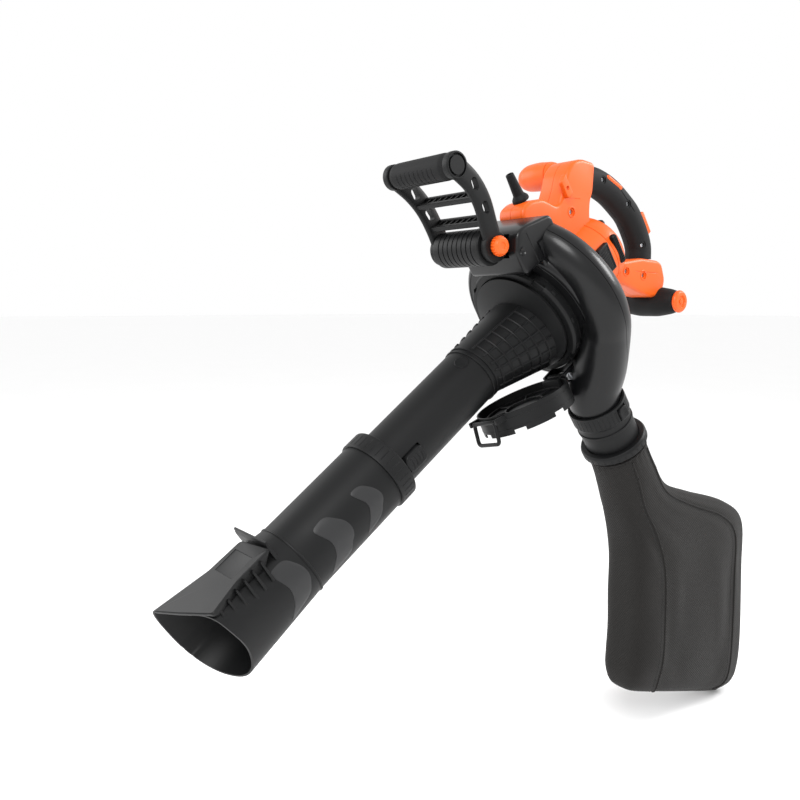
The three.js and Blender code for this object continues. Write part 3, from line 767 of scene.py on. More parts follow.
class StitchTree(GeometryTree):
    """Geometry Nodes that lay short thread stitches along a line."""

    THREAD_SIDES = 6

    def __init__(self) -> None:
        """Builds the node tree."""
        super().__init__("stitches", {"Line": "Geometry", "Pitch": "Float", "Stitch": "Float",
                                      "Thickness": "Float"})
        given, link = self.given, self.tree.links.new
        even = self.node("GeometryNodeResampleCurve", mode="LENGTH")
        link(given["Line"], even.inputs["Curve"])
        link(given["Pitch"], even.inputs["Length"])
        thread = self.node("GeometryNodeMeshCylinder",
                           {"Radius": given["Thickness"], "Depth": given["Stitch"]})
        thread.inputs["Vertices"].default_value = self.THREAD_SIDES
        tangent = self.node("GeometryNodeInputTangent")
        aim = self.node("FunctionNodeAlignRotationToVector", {"Vector": tangent.outputs[0]}, axis="Z")
        for key, output in (("Points", even), ("Instance", thread), ("Rotation", aim)):
            link(output.outputs[0], self.copies.inputs[key])
        self.finish(self.copies.outputs[0])

    def run(self, line: Sequence[Point], pitch: float, stitch: float, thickness: float,
            finish: bpy.types.Material) -> Solid:
        """Lays stitches.

        Args:
            line: Points that the seam follows, in millimetres.
            pitch: Distance between stitches.
            stitch: Length of one stitch.
            thickness: Radius of the thread.
            finish: The thread's material.

        Returns:
            The stitches as one plain mesh.
        """
        data = bpy.data.curves.new("seam", "CURVE")
        data.dimensions = "3D"
        spline = data.splines.new("POLY")
        spline.points.add(len(line) - 1)
        for knot, place in zip(spline.points, line):
            knot.co = (*place, 1.0)
        values = {"Pitch": pitch, "Stitch": stitch, "Thickness": thickness, "Finish": finish}
        return self.evaluate(data, values)


# ---------------------------------------------------------------- workshop
@dataclass
class Workshop:
    """Finishes, repeat trees and the one way that a finished piece enters the scene."""

    finishes: dict[Slot, bpy.types.Material] = field(default_factory=dict)
    thread: bpy.types.Material | None = None
    # Pale black of the nozzle's raised bands: painted highlight, for the reflections on the glossy nozzle.
    pale: bpy.types.Material | None = None
    repeat: RepeatTree = field(default_factory=RepeatTree)
    stitches: StitchTree = field(default_factory=StitchTree)

    def mix_finishes(self) -> None:
        """Makes every material."""
        self.finishes = {
            Slot.ORANGE: MouldedPlastic("orange_shell", (0.78, 0.105, 0.006), 0.42, coat=0.06, mottle=0.04,
                                        specular=0.35).build(),
            Slot.BLACK: MouldedPlastic("black_shell", (0.0055, 0.0057, 0.006), 0.46, specular=0.20).build(),
            Slot.GLOSS: MouldedPlastic("dark_casing", (0.0045, 0.0046, 0.005), 0.30, 900.0, 0.000006, 0.08,
                                      specular=0.26).build(),
            Slot.SOFT: MouldedPlastic("soft_grip", (0.0055, 0.0056, 0.006), 0.66, 1100.0, 0.00012,
                                      specular=0.22).build(),
            Slot.CLOTH: WovenCloth("bag_cloth", (0.0095, 0.0089, 0.0084)).build(),
            Slot.STEEL: TurnedMetal("steel", (0.62, 0.63, 0.65)).build(),
            Slot.COPPER: TurnedMetal("copper", (0.72, 0.40, 0.24), 0.38).build(),
        }
        self.thread = MouldedPlastic("bag_thread", (0.012, 0.012, 0.012), 0.7, 3000.0).build()
        # The nozzle's pale bands are painted highlight: a lighter black laid where the nozzle shows
        # reflections.
        self.pale = MouldedPlastic("painted_highlight_band", (0.020, 0.0202, 0.021), 0.40, 900.0, 0.00002,
                                   specular=0.3).build()

    def add(self, name: str, solid: Solid, slot: Slot, body: str, replaces: Sequence[str] = (),
            place: Matrix = MACHINE, material: bpy.types.Material | None = None) -> bpy.types.Object:
        """Places a finished solid in the scene.

        Args:
            name: Name of the piece.
            solid: Its shape, in millimetres.
            slot: The record's slot that it takes its finish from.
            body: CAD body that it rides on.
            replaces: CAD nodes that it stands for.
            place: Matrix from its millimetres to the row frame.
            material: Material, where it isn't the slot's own.

        Returns:
            The piece.
        """
        mesh = solid.mesh.copy()
        mesh.name = name
        mesh.transform(place)
        work = bmesh.new()
        work.from_mesh(mesh)
        bmesh.ops.remove_doubles(work, verts=work.verts, dist=2e-6)
        bmesh.ops.dissolve_degenerate(work, dist=2e-6, edges=work.edges)
        for edge in work.edges:
            edge.smooth = len(edge.link_faces) == 2 and edge.calc_face_angle(0.0) < SMOOTH_ANGLE
        for face in work.faces:
            face.smooth = True
            face.material_index = 0
        work.to_mesh(mesh)
        work.free()
        mesh.materials.clear()
        mesh.materials.append(material or self.finishes[slot])
        piece = bpy.data.objects.new(name, mesh)
        bpy.context.scene.collection.objects.link(piece)
        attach(piece, body)
        if replaces:
            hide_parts(*replaces)
        log.info("%s: %d faces on %s", name, len(mesh.polygons), body)
        return piece


# ---------------------------------------------------------------- fan casing
TUBE_R = 42.5
DRUM_R = 118
DRUM_FRONT = 38
DRUM_BACK = 104.6
SPLIT_Y = 66
WALL = 2.6
PIVOT = (0, -8, 148)
DOOR_PIN = (0, 16, -104)
PIN_ROOM = 3.35  # radius of the bores that the door's pin runs in
REAR_BULB = (0, 237, 126)  # point on the rear bulb's axis, in the middle plane
CORD_EXIT = (0, 120, 148)  # foot of the strain relief
OUTLET_X = 64  # X of the outlet's axis
SLEEVE_R = 50.5  # outside of the nozzle's round part
TUBE_JOINT = -292  # Y of the nozzle's upper end
FLARE_START = -466  # Y where the nozzle starts to widen
FRAME_OUTLINE = [
    (86, 112), (86, 138), (94, 147), (112, 148), (138, 137), (160, 110), (184, 125), (204, 142), (226, 148),
    (246, 140), (268.2, 119.8), (240.2, 85.8), (228, 78), (214, 60), (200, 20), (210, -30), (236, -38),
    (262, -52), (289, -66), (325, -95), (331, -106), (324, -134), (306, -147), (284, -142), (262, -122),
    (238, -90), (214, -62), (170, -50), (150, -20), (140, 60), (126, 100), (104, 112),
]
FRAME_HALF = 25
DOOR_TURN = (
    Matrix.Rotation(math.radians(-14), 4, "Y")
    @ Matrix.Translation(DOOR_PIN) @ Matrix.Rotation(math.radians(-15), 4, "X")
    @ Matrix.Translation([-v for v in DOOR_PIN])
)
LUG_TURN = Matrix.Rotation(math.radians(-14), 4, "Y")


def scroll(grow: float, overrun: float = 0.0) -> Solid:
    """Makes the snail-shaped duct round the fan.

    Args:
        grow: How much larger than the real outside it is.
        overrun: How far its outlet end is pushed out, for cutting.

    Returns:
        The duct as a solid.
    """
    stations = []
    for degrees in range(27, 118, 15):
        phi, share = math.radians(degrees), (degrees - 27) / 90
        reach = 124 - 12 * share
        stations.append((reach * math.sin(phi), 72 - 4 * share, reach * math.cos(phi), 25 + 12 * share))
    stations += [(79, 54, -102, 39), (67, 38, -130, 39.5), (OUTLET_X, 30, -150, 39), (OUTLET_X, 30, -172, 39)]
    line = curve_through(stations, 44)
    loops = []
    for i, knot in enumerate(line):
        centre = Vector(knot[:3])
        ahead, behind = line[min(i + 1, len(line) - 1)], line[max(i - 1, 0)]
        along = (Vector(ahead[:3]) - Vector(behind[:3])).normalized()
        u = along.cross(Vector((0, 1, 0))).normalized()
        v = along.cross(u)
        radius = knot[3] + grow
        if i == 0:
            for share, size in ((0.55, 0.60), (0.42, 0.80), (0.22, 0.93)):
                loops.append(oval(centre - along * radius * share, u * radius * size, v * radius * size, 64))
        loops.append(oval(centre, u * radius, v * radius, 64))
        if i == len(line) - 1 and overrun > 0:
            loops.append([p + along * overrun for p in loops[-1]])
    return loft(loops)


def drum(grow: float, soft: float = 4.0) -> Solid:
    """Returns the round fan chamber, larger by `grow`."""
    r, front, back = DRUM_R + grow, DRUM_FRONT - grow, DRUM_BACK + grow
    profile = [[0, front], [r - 7, front], [r, front + 8], [r, back - 12], [r - 12, back], [0, back]]
    return turned(profile, segments=128, soft=soft)


@dataclass
class Casing:
    """Glossy fan casing with its scroll, and the ring that the tube locks on."""

    shop: Workshop
    keep_out: Solid = field(init=False)

    def __post_init__(self) -> None:
        """Makes the room that the casing takes out of its neighbours."""
        self.keep_out = drum(GAP) + scroll(GAP)

    def shell(self) -> Solid:
        """Returns the hollow casing, with the raised lines that are moulded in it."""
        body = drum(0).join(scroll(0), turned([[113, 61], [119.4, 61], [119.4, 71], [113, 71]], soft=1.0))
        body = body.join(turned([[88, 37.5], [91, 37.5], [91, 40], [88, 40]], soft=0.4))
        bores = drum(-WALL) + scroll(-WALL, 14)
        holes = [rod(78, 20, 60, segments=96), rod(9, 90, 110)]
        grooves = [turned([[104, 36], [109, 36], [109, 39.2], [104, 39.2]], soft=0.6)]
        return body.cut(bores, *holes, *grooves)

    def build(self) -> None:
        """Builds the two halves and the ring."""
        shell = self.shell()
        lugs = []
        for x in (-25, 18.4):
            low = (DOOR_PIN[0] + x, DOOR_PIN[1] - 6, DOOR_PIN[2] - 8)
            lugs.append(block(low, (low[0] + 6.6, DRUM_FRONT + 1, DOOR_PIN[2] + 8), 1.5).moved(LUG_TURN))
        head_room = rod(6.35, 25.2, 30, Axis.X, DOOR_PIN)
        pin_room = rod(PIN_ROOM, -40, 30, Axis.X, DOOR_PIN).join(head_room).moved(LUG_TURN)
        front = shell & block((-BIG, -BIG, -BIG), (BIG, SPLIT_Y - 0.4, BIG))
        back = shell & block((-BIG, SPLIT_Y + 0.4, -BIG), (BIG, BIG, BIG))
        self.shop.add("casing_front", front.join(*lugs) - pin_room, Slot.GLOSS, "machine", ["volute_front"])
        self.shop.add("casing_back", back, Slot.GLOSS, "machine", ["volute_back"])
        seat = DRUM_FRONT - GAP
        profile = [[80, 21], [89, 21], [92, 25], [92, seat - 1.4], [80, seat - 1.4]]
        ring = turned(profile, soft=1.0, segments=128)
        notch = block((85.5, 17, -10), (94.5, 29, 10), 1.2).moved(Matrix.Rotation(math.radians(-45), 4, "Y"))
        ring = ring - self.shop.repeat.run(notch, 4, turn=90)
        tooth = block((89.5, 27, -4), (93.2, 34.5, 4), 0.8)
        ring = ring + self.shop.repeat.run(tooth, 12, turn=30)
        self.shop.add("tube_lock_ring", ring, Slot.BLACK, "machine", ["intake_ring"])


# ---------------------------------------------------------------- motor housing
@dataclass
class Housing:
    """Orange motor housing, its loop handle, bulbs, vents and badges."""

    shop: Workshop
    casing: Casing
    loop_line: tuple = (
        (254, 104), (277, 84), (298, 55), (314, 19), (321, -5), (322, -37), (318, -62), (307, -80),
    )
    screws: tuple = (
        (277, 87, 20), (311, 23, 20), (309, -54, 20), (180, 88, 25), (243, -61, 25), (277, -92, 25),
    )
    front_bulb: tuple = (0, 298, -160)

    def inlay(self, grow: float) -> Solid:
        """Returns the orange strip on the grip's right shoulder, larger by `grow`."""
        return bar((16.5, 289 - 0.6 * grow, 86 + grow), (16.5, 311 + 0.5 * grow, 50 - grow), 4 + grow)

    def bulb(self, grow: float) -> Solid:
        """Returns the bulb between the posts at the front, larger by `grow`."""
        g = grow
        profile = [[0, -53 - g], [17 + g, -53 - g], [21 + g, -42], [25 + g, -18], [25 + g, 18], [21 + g, 42],
                   [17 + g, 53 + g], [0, 53 + g]]
        return turned(profile, Axis.X, self.front_bulb, 72, soft=6.0 if grow == 0 else 0.0)

    def screw_rooms(self, face: float) -> list[Solid]:
        """Returns the stepped recesses of the screws whose faces are at `face`."""
        return [
            rod(4.0, face - 7, face + 8, Axis.X, (0, y, z), 28).join(rod(6.6, face - 1.3, face + 8, Axis.X,
                                                                         (0, y, z), 36))
            for y, z, own in self.screws if own == face
        ]

    def shell(self) -> Solid:
        """Returns the housing before it is split down the middle."""
        barrel = turned([[0, 133], [61, 133], [61, 206], [57, 220], [47, 230], [31, 235], [0, 236]], soft=7.0)
        room = turned([[0, 120], [54.6, 120], [54.6, 210], [48, 222], [30, 228], [0, 229]])
        frame_body = plate(FRAME_OUTLINE, FRAME_HALF, 6.0, 9.0)
        raised = [rod(8.6, FRAME_HALF - 4, FRAME_HALF + 0.7, Axis.X, (0, y, z), 40, 0.6)
                  for y, z, own in self.screws if own == 25]
        shell = barrel.join(frame_body, *raised)
        lines = [turned([[60.2, at], [62, at], [62, at + 1.5], [60.2, at + 1.5]]) for at in (149, 193)]
        seam = [bar((s * 25.2, 162, 124), (s * 25.2, 207, 94), 0.8, 10) for s in (-1, 1)]
        tail = [bar((s * 25.2, 262, -74), (s * 25.2, 312, -112), 0.8, 10) for s in (-1, 1)]
        sides = []
        for s in (-1, 1):
            sides += [block((s * 59.5 - 4.6, 157.6, -14.6), (s * 59.5 + 4.6, 184.4, 30.6), 1.0),
                      bar((s * 58, 205, 30.35), (s * 58, 205, -20.35), 6.35),
                      bar((-26.35, 234, s * 34), (26.35, 234, s * 34), 6.35)]
        rooms = [room, rod(64.5, 90, 133, segments=96), self.casing.keep_out, self.bulb(GAP),
                 rod(13, -2, 60, Axis.Z, CORD_EXIT), block((-13, 197, 93), (13, 229, 121)),
                 block((-13, 218, 64), (13, 241, 98))]
        return shell.cut(*rooms, *lines, *seam, *tail, *sides, *self.screw_rooms(25))

    def build_shells(self) -> None:
        """Builds the orange halves, the loop grip halves and the inlays."""
        shell = self.shell()
        half_gap = 0.35
        right = block((half_gap, -BIG, -BIG), (BIG, BIG, BIG))
        left = block((-BIG, -BIG, -BIG), (-half_gap, BIG, BIG))
        self.shop.add("motor_shell_right", shell & right, Slot.ORANGE, "machine", ["housing_right"])
        self.shop.add("motor_shell_left", shell & left, Slot.ORANGE, "machine", ["housing_left"])
        grip = sweep([(0, y, z) for y, z in self.loop_line], 22, 20, 60, 56, 2.2)
        frame_room = block((-12.35, 337.65, -53.35), (12.35, 360, -12.65), 1.0)
        inlays = [self.inlay(GAP), self.inlay(GAP).mirrored()]
        posts = plate(FRAME_OUTLINE, FRAME_HALF + 10, 0, 9.0)
        grip = grip.cut(posts, *inlays, frame_room, *self.screw_rooms(20))
        beads = [bar((s * 19.6, 303, 62), (s * 19.6, 318, 4), 0.9, 10) for s in (-1, 1)]
        grip = grip.cut(*beads)
        self.shop.add("loop_handle_right", grip & right, Slot.SOFT, "machine", ["loop_grip_right"])
        self.shop.add("loop_handle_left", grip & left, Slot.SOFT, "machine", ["loop_grip_left"])
        self.shop.add("inlay_right", self.inlay(0), Slot.ORANGE, "machine", ["grip_inlay_right"])
        self.shop.add("inlay_left", self.inlay(0).mirrored(), Slot.ORANGE, "machine", ["grip_inlay_left"])

    def build_screws(self) -> None:
        """Builds the six case screws with cross-recessed heads."""
        profile = [[0, -6.6], [3.5, -6.6], [3.5, -3.8], [2.8, -3.1], [0, -3.0]]
        head = turned(profile, Axis.X, segments=32, soft=0.3)
        cross = [block((-4.6, -2.2, -0.5), (-2, 2.2, 0.5)), block((-4.6, -0.5, -2.2), (-2, 0.5, 2.2))]
        head = head.cut(*cross)
        heads = None
        for y, z, face in self.screws:
            one = self.shop.repeat.run(head.shifted(face, y, z), 1, finish=self.shop.finishes[Slot.STEEL])
            heads = one if heads is None else heads + one
        names = [f"case_screw_{i}" for i in range(1, 7)]
        self.shop.add("case_screws", heads, Slot.STEEL, "machine", names)

    def build_trim(self) -> None:
        """Builds the badges, vents and collar."""
        badge = block((55.5, 158, -14), (63.5, 184, 30), 1.2)
        badge = badge.cut(block((62.7, 161, -11), (65, 181, 27), 0.8))
        rib = block((62.4, 163, -9), (63.3, 179, -7.6), 0.3)
        badge = badge + self.shop.repeat.run(rib, 9, step=(0, 0, 4.4))
        self.shop.add("badge_plate_right", badge, Slot.BLACK, "machine", ["badge_right"])
        self.shop.add("badge_plate_left", badge.mirrored(), Slot.BLACK, "machine", ["badge_left"])
        louvre = block((62.2, 200, -20.4), (66, 210, -18.6))
        vent = bar((58, 205, 30), (58, 205, -20), 6).cut(self.shop.repeat.run(louvre, 14, step=(0, 0, 3.8)))
        self.shop.add("side_vent_right", vent, Slot.BLACK, "machine", ["vent_right"])
        self.shop.add("side_vent_left", vent.mirrored(), Slot.BLACK, "machine", ["vent_left"])
        slit = block((-26.9, 238.4, 28.5), (-25.1, 242, 39.5))
        end = bar((-26, 234, 34), (26, 234, 34), 6).cut(self.shop.repeat.run(slit, 14, step=(4, 0, 0)))
        self.shop.add("end_vent_upper", end, Slot.BLACK, "machine", ["vent_end_upper"])
        flip = Matrix.Diagonal((1, 1, -1, 1))
        self.shop.add("end_vent_lower", end.moved(flip), Slot.BLACK, "machine", ["vent_end_lower"])
        rim = 132.65
        profile = [[13.4, 106], [63, 106], [64, 109], [64, rim], [58, rim], [58, 119], [13.4, 119]]
        collar = turned(profile, soft=1.0)
        slot = block((55, 122.5, -8), (69, 129.5, 8), 1.5).moved(Matrix.Rotation(math.radians(15), 4, "Y"))
        collar = collar.cut(self.shop.repeat.run(slot, 12, turn=30))
        self.shop.add("cooling_collar", collar, Slot.BLACK, "machine", ["motor_collar"])

    def build_ends(self) -> None:
        """Builds both bulbs with their caps, the strain relief and the cord hook."""
        rear = turned([[0, 25.5], [16, 25.5], [20, 34], [22.5, 60], [21, 84], [14, 98], [0, 103]], Axis.X,
                      (0, 0, 0), 72, soft=8.0).moved(Matrix.Diagonal((-1, 1, 1, 1))).shifted(*REAR_BULB)
        ring = turned([[19, -38], [26, -38], [26, -36.6], [19, -36.6]], Axis.X, REAR_BULB, 72)
        rear = rear.cut(ring, rod(1.6, -110, -101.6, Axis.X, REAR_BULB, 20))
        self.shop.add("rear_bulb", rear, Slot.ORANGE, "machine", ["rear_bulb_grip"])
        _, y, z = self.front_bulb
        lines = tube_line([(-46, y, z + 21.6), (-42, y, z + 22.6), (-18, y, z + 26.3), (18, y, z + 26.3),
                           (42, y, z + 22.6), (46, y, z + 21.6)], 1.0, 8)
        ribs = self.shop.repeat.run(lines, 30, axis=(1, 0, 0), pivot=(0, y, z), turn=12)
        self.shop.add("front_bulb", self.bulb(0) - ribs, Slot.SOFT, "machine", ["front_bulb_grip"])
        profile = [[0, 53.35], [18, 53.35], [19, 57], [16, 61], [0, 62]]
        cap = turned(profile, Axis.X, self.front_bulb, 64, soft=2.0)
        dish = turned([[0, 59.6], [9, 59.6], [11, 64], [0, 64]], Axis.X, self.front_bulb, 48)
        boss = rod(4.5, 58, 61.2, Axis.X, self.front_bulb, 32, 0.8)
        cap = cap.cut(dish).join(boss)
        self.shop.add("bulb_cap_disc_right", cap, Slot.ORANGE, "machine", ["bulb_cap_right"])
        self.shop.add("bulb_cap_disc_left", cap.mirrored(), Slot.ORANGE, "machine", ["bulb_cap_left"])
        profile = [[0, -1.6], [12.5, -1.6], [12.5, 3], [8, 9], [6, 42], [0, 42]]
        relief = turned(profile, Axis.Z, CORD_EXIT, 48, soft=1.5)
        bore = rod(4.0, 30, 60, Axis.Z, CORD_EXIT, 32)
        self.shop.add("cord_relief", relief - bore, Slot.SOFT, "machine", ["strain_relief"])
        hook = plate([(176, 112), (190, 112), (190, 146), (176, 140)], 4, 1.6, 4).shifted(29.35)
        hook = hook.cut(bar((20, 183, 126), (40, 183, 126), 3.2))
        self.shop.add("cord_hook_plate", hook, Slot.ORANGE, "machine", ["cord_hook"])

    def build(self) -> None:
        """Builds the whole housing."""
        self.build_shells()
        self.build_screws()
        self.build_trim()
        self.build_ends()


@dataclass
class Controls:
    """Rocker switch with its surround, and the trigger."""

    shop: Workshop

    def build(self) -> None:
        """Builds the switch surround, the rocker and the trigger."""
        surround = block((-12, 338, -53), (12, 349, -13), 2.2) - block((-7, 341, -46), (7, 360, -20), 0.8)
        self.shop.add("switch_surround", surround, Slot.ORANGE, "machine", ["rocker_frame"])
        rocker = plate([(344, -44), (350, -44), (346.5, -33), (352, -22), (344, -22)], 6.4, 0.8, 1.5)
        ridge = bar((-4.4, 350.9, -26), (4.4, 350.9, -26), 0.6, 10)
        rocker = rocker.cut(self.shop.repeat.run(ridge, 3, step=(0, -0.9, -2.2)))
        self.shop.add("rocker_button", rocker, Slot.BLACK, "rocker_body", ["switch_rocker"])
        trigger = plate([(221, 92), (225, 76), (233, 70), (239, 74), (234, 88), (229, 95)], 11, 2.4, 3.0)
        line = bar((-12, 236.8, 71.5), (12, 236.8, 71.5), 0.7, 8)
        trigger = trigger.cut(self.shop.repeat.run(line, 4, step=(-1.0, 0.2, 4.2)))
        self.shop.add("trigger_lever", trigger, Slot.BLACK, "trigger_body", ["trigger"])


# ---------------------------------------------------------------- second handle
@dataclass
class SecondHandle:
    """Pivot box on the casing, the tilting handle, its grip and its clamping knob."""

    shop: Workshop
    casing: Casing
    grip: tuple = (0, -17, 273)

    def build_pivot(self) -> None:
        """Builds the pivot box, the barrel, the bolt and the knob."""
        outline = [(0, 94), (0, 130), (17, 152), (34, 152), (85.6, 138), (85.6, 60), (39, 60), (39, 94)]
        box = plate(outline, 54, 4.5, 8).shifted(24)
        recess = [bar((74, 5 + 6, 126), (90, 11, 126), 7), block((77, 40, 92), (90, 70, 122), 1.5)]
        line = tube_line([(78.2, 30, 80), (78.2, 30, 143)], 0.9, 8)
        icons = block((77, 44, 96), (78.0, 66, 118), 0.4)
        rooms = [rod(25.85, -80, 61, Axis.X, PIVOT, 72), rod(14.8, 55, 80, Axis.X, PIVOT, 56)]
        box = box.cut(self.casing.keep_out, *rooms, *recess, line)
        self.shop.add("pivot_box", box, Slot.GLOSS, "machine", ["pivot_housing"])
        self.shop.add("icon_patch", icons, Slot.SOFT, "machine")
        barrel = rod(25.5, -46, 46, Axis.X, PIVOT, 72, 2.0) - rod(4.4, -80, 80, Axis.X, PIVOT)
        ring = turned([[24.6, -34], [27, -34], [27, -32], [24.6, -32]], Axis.X, PIVOT, 72)
        barrel = barrel.cut(self.shop.repeat.run(ring, 8, step=(9.4, 0, 0)))
        self.shop.add("pivot_drum", barrel, Slot.BLACK, "machine", ["pivot_barrel"])
        bolt = rod(4, -61, 59, Axis.X, PIVOT, 32) + rod(9, -62, -57.5, Axis.X, PIVOT, 6, 0.8)
        self.shop.add("clamp_bolt", bolt, Slot.STEEL, "machine", ["pivot_bolt"])
        profile = [[4.4, 57.6], [12.2, 57.6], [12.8, 65.6], [10.6, 69.6], [4.4, 69.6]]
        knob = turned(profile, Axis.X, PIVOT, 64, 0.8)
        knob = knob + rod(9, 65.6, 68.6, Axis.X, PIVOT, 48)
        tooth = bar((58.6, PIVOT[1], PIVOT[2] + 12.6), (65.4, PIVOT[1], PIVOT[2] + 12.9), 1.1, 10)
        knob = knob + self.shop.repeat.run(tooth, 20, axis=(1, 0, 0), pivot=PIVOT, turn=18)
        self.shop.add("clamp_knob", knob, Slot.ORANGE, "knob_body", ["pivot_knob"])

    def arm(self) -> Solid:
        """Returns the right side arm with its bosses, holes, slots and sunk panel."""
        path = [(52, -8, 150), (54, -2, 180), (58, 1, 212), (61, -4, 242), (62, -17, 272)]
        flank = sweep(path, 15, 5, 36, 48, 3.4)
        bosses = [rod(21, 47, 57, Axis.X, PIVOT, 64, 1.4), rod(17.5, 57, 67, Axis.X, self.grip, 56, 1.4)]
        slots = []
        for y, z, lean in ((0, 202, 0.0), (-3, 238, -0.12)):
            slots.append(block((45, y - 5.4, z - 9), (74, y + 5.4, z + 9), 5.3)
                         .moved(Matrix.Translation((0, y, z)) @ Matrix.Rotation(lean, 4, "X")
                                @ Matrix.Translation((0, -y, -z))))
        dish = turned([[12, 64], [15, 64], [15, 69], [12, 69]], Axis.X, self.grip, 48)
        return flank.join(*bosses).cut(rod(4.4, -90, 90, Axis.X, PIVOT), *slots, dish)

    def build(self) -> None:
        """Builds the pivot and the handle."""
        self.build_pivot()
        right = self.arm()
        rails = []
        for z, half in ((184, 52.5), (220, 57)):
            rails += [block((-half, y, z - 3), (half, y + 6, z + 4), 1.2) for y in (-12, 6)]
            rails.append(block((-half, -8, z - 0.8), (half, 8, z + 0.8)))
            web = block((-42, -11, z - 2), (-40, 11, z + 3))
            rails.append(self.shop.repeat.run(web, 8, step=(11.7, 0, 0)))
        bar_core = rod(9, -62, 62, Axis.X, self.grip, 40)
        handle = right.join(right.mirrored(), bar_core, *rails)
        self.shop.add("handle_frame", handle, Slot.BLACK, "handle_body", ["second_handle"])
        profile = [[9.4, -56], [15, -56], [17.5, -48], [17.5, 48], [15, 56], [9.4, 56]]
        sleeve = turned(profile, Axis.X, self.grip, 72, soft=2.0)
        _, y, z = self.grip
        cord = oval((-36, y, z), (0, 18.2, 0), (0, 0, 18.2), 48)
        arc = tube_line([p for i, p in enumerate(cord) if 20 <= i <= 42], 1.3, 8)
        sleeve = sleeve.cut(self.shop.repeat.run(arc, 9, step=(9, 0, 0)))
        self.shop.add("handle_sleeve", sleeve, Slot.SOFT, "handle_body", ["second_handle_grip"])


# ---------------------------------------------------------------- suction tube
def tube_loop(radius: float, y: float, drop: float = 0.0, count: int = 96) -> list[Vector]:
    """Returns a round loop about the tube's axis, shifted by `drop` along Z."""
    return oval((0, y, drop), (radius, 0, 0), (0, 0, radius), count)


def mouth_loop(inset: float, shift: float = 0.0, count: int = 96) -> list[Vector]:
    """Makes the slanted mouth, which has a flat top and a rounded underside.

    Args:
        inset: How far inside the outer lip it runs.
        shift: How far it is pushed out along the tube.
        count: Number of points.

    Returns:
        The loop.
    """
    lip = [(-50, -622, 56), (0, -606, 60), (50, -590, 56), (60, -584, 28), (56, -582, -6), (42, -590, -38),
           (16, -602, -54), (-20, -614, -52), (-46, -622, -30), (-58, -625, 6)]
    round_trip = [Vector(p) for p in (*lip[-2:], *lip, *lip[:3])]
    dense = curve_through(round_trip, 900)
    angles = [math.atan2(p.z, p.x) for p in dense]
    loop = []
    for i in range(count):
        want = 2 * math.pi * i / count
        best = min(range(len(dense)), key=lambda k: abs(math.remainder(angles[k] - want, 2 * math.pi)))
        p = dense[best]
        inward = Vector((-p.x, 0, -p.z)).normalized()
        loop.append(p + inward * inset + Vector((0, -shift, 0)))
    return loop


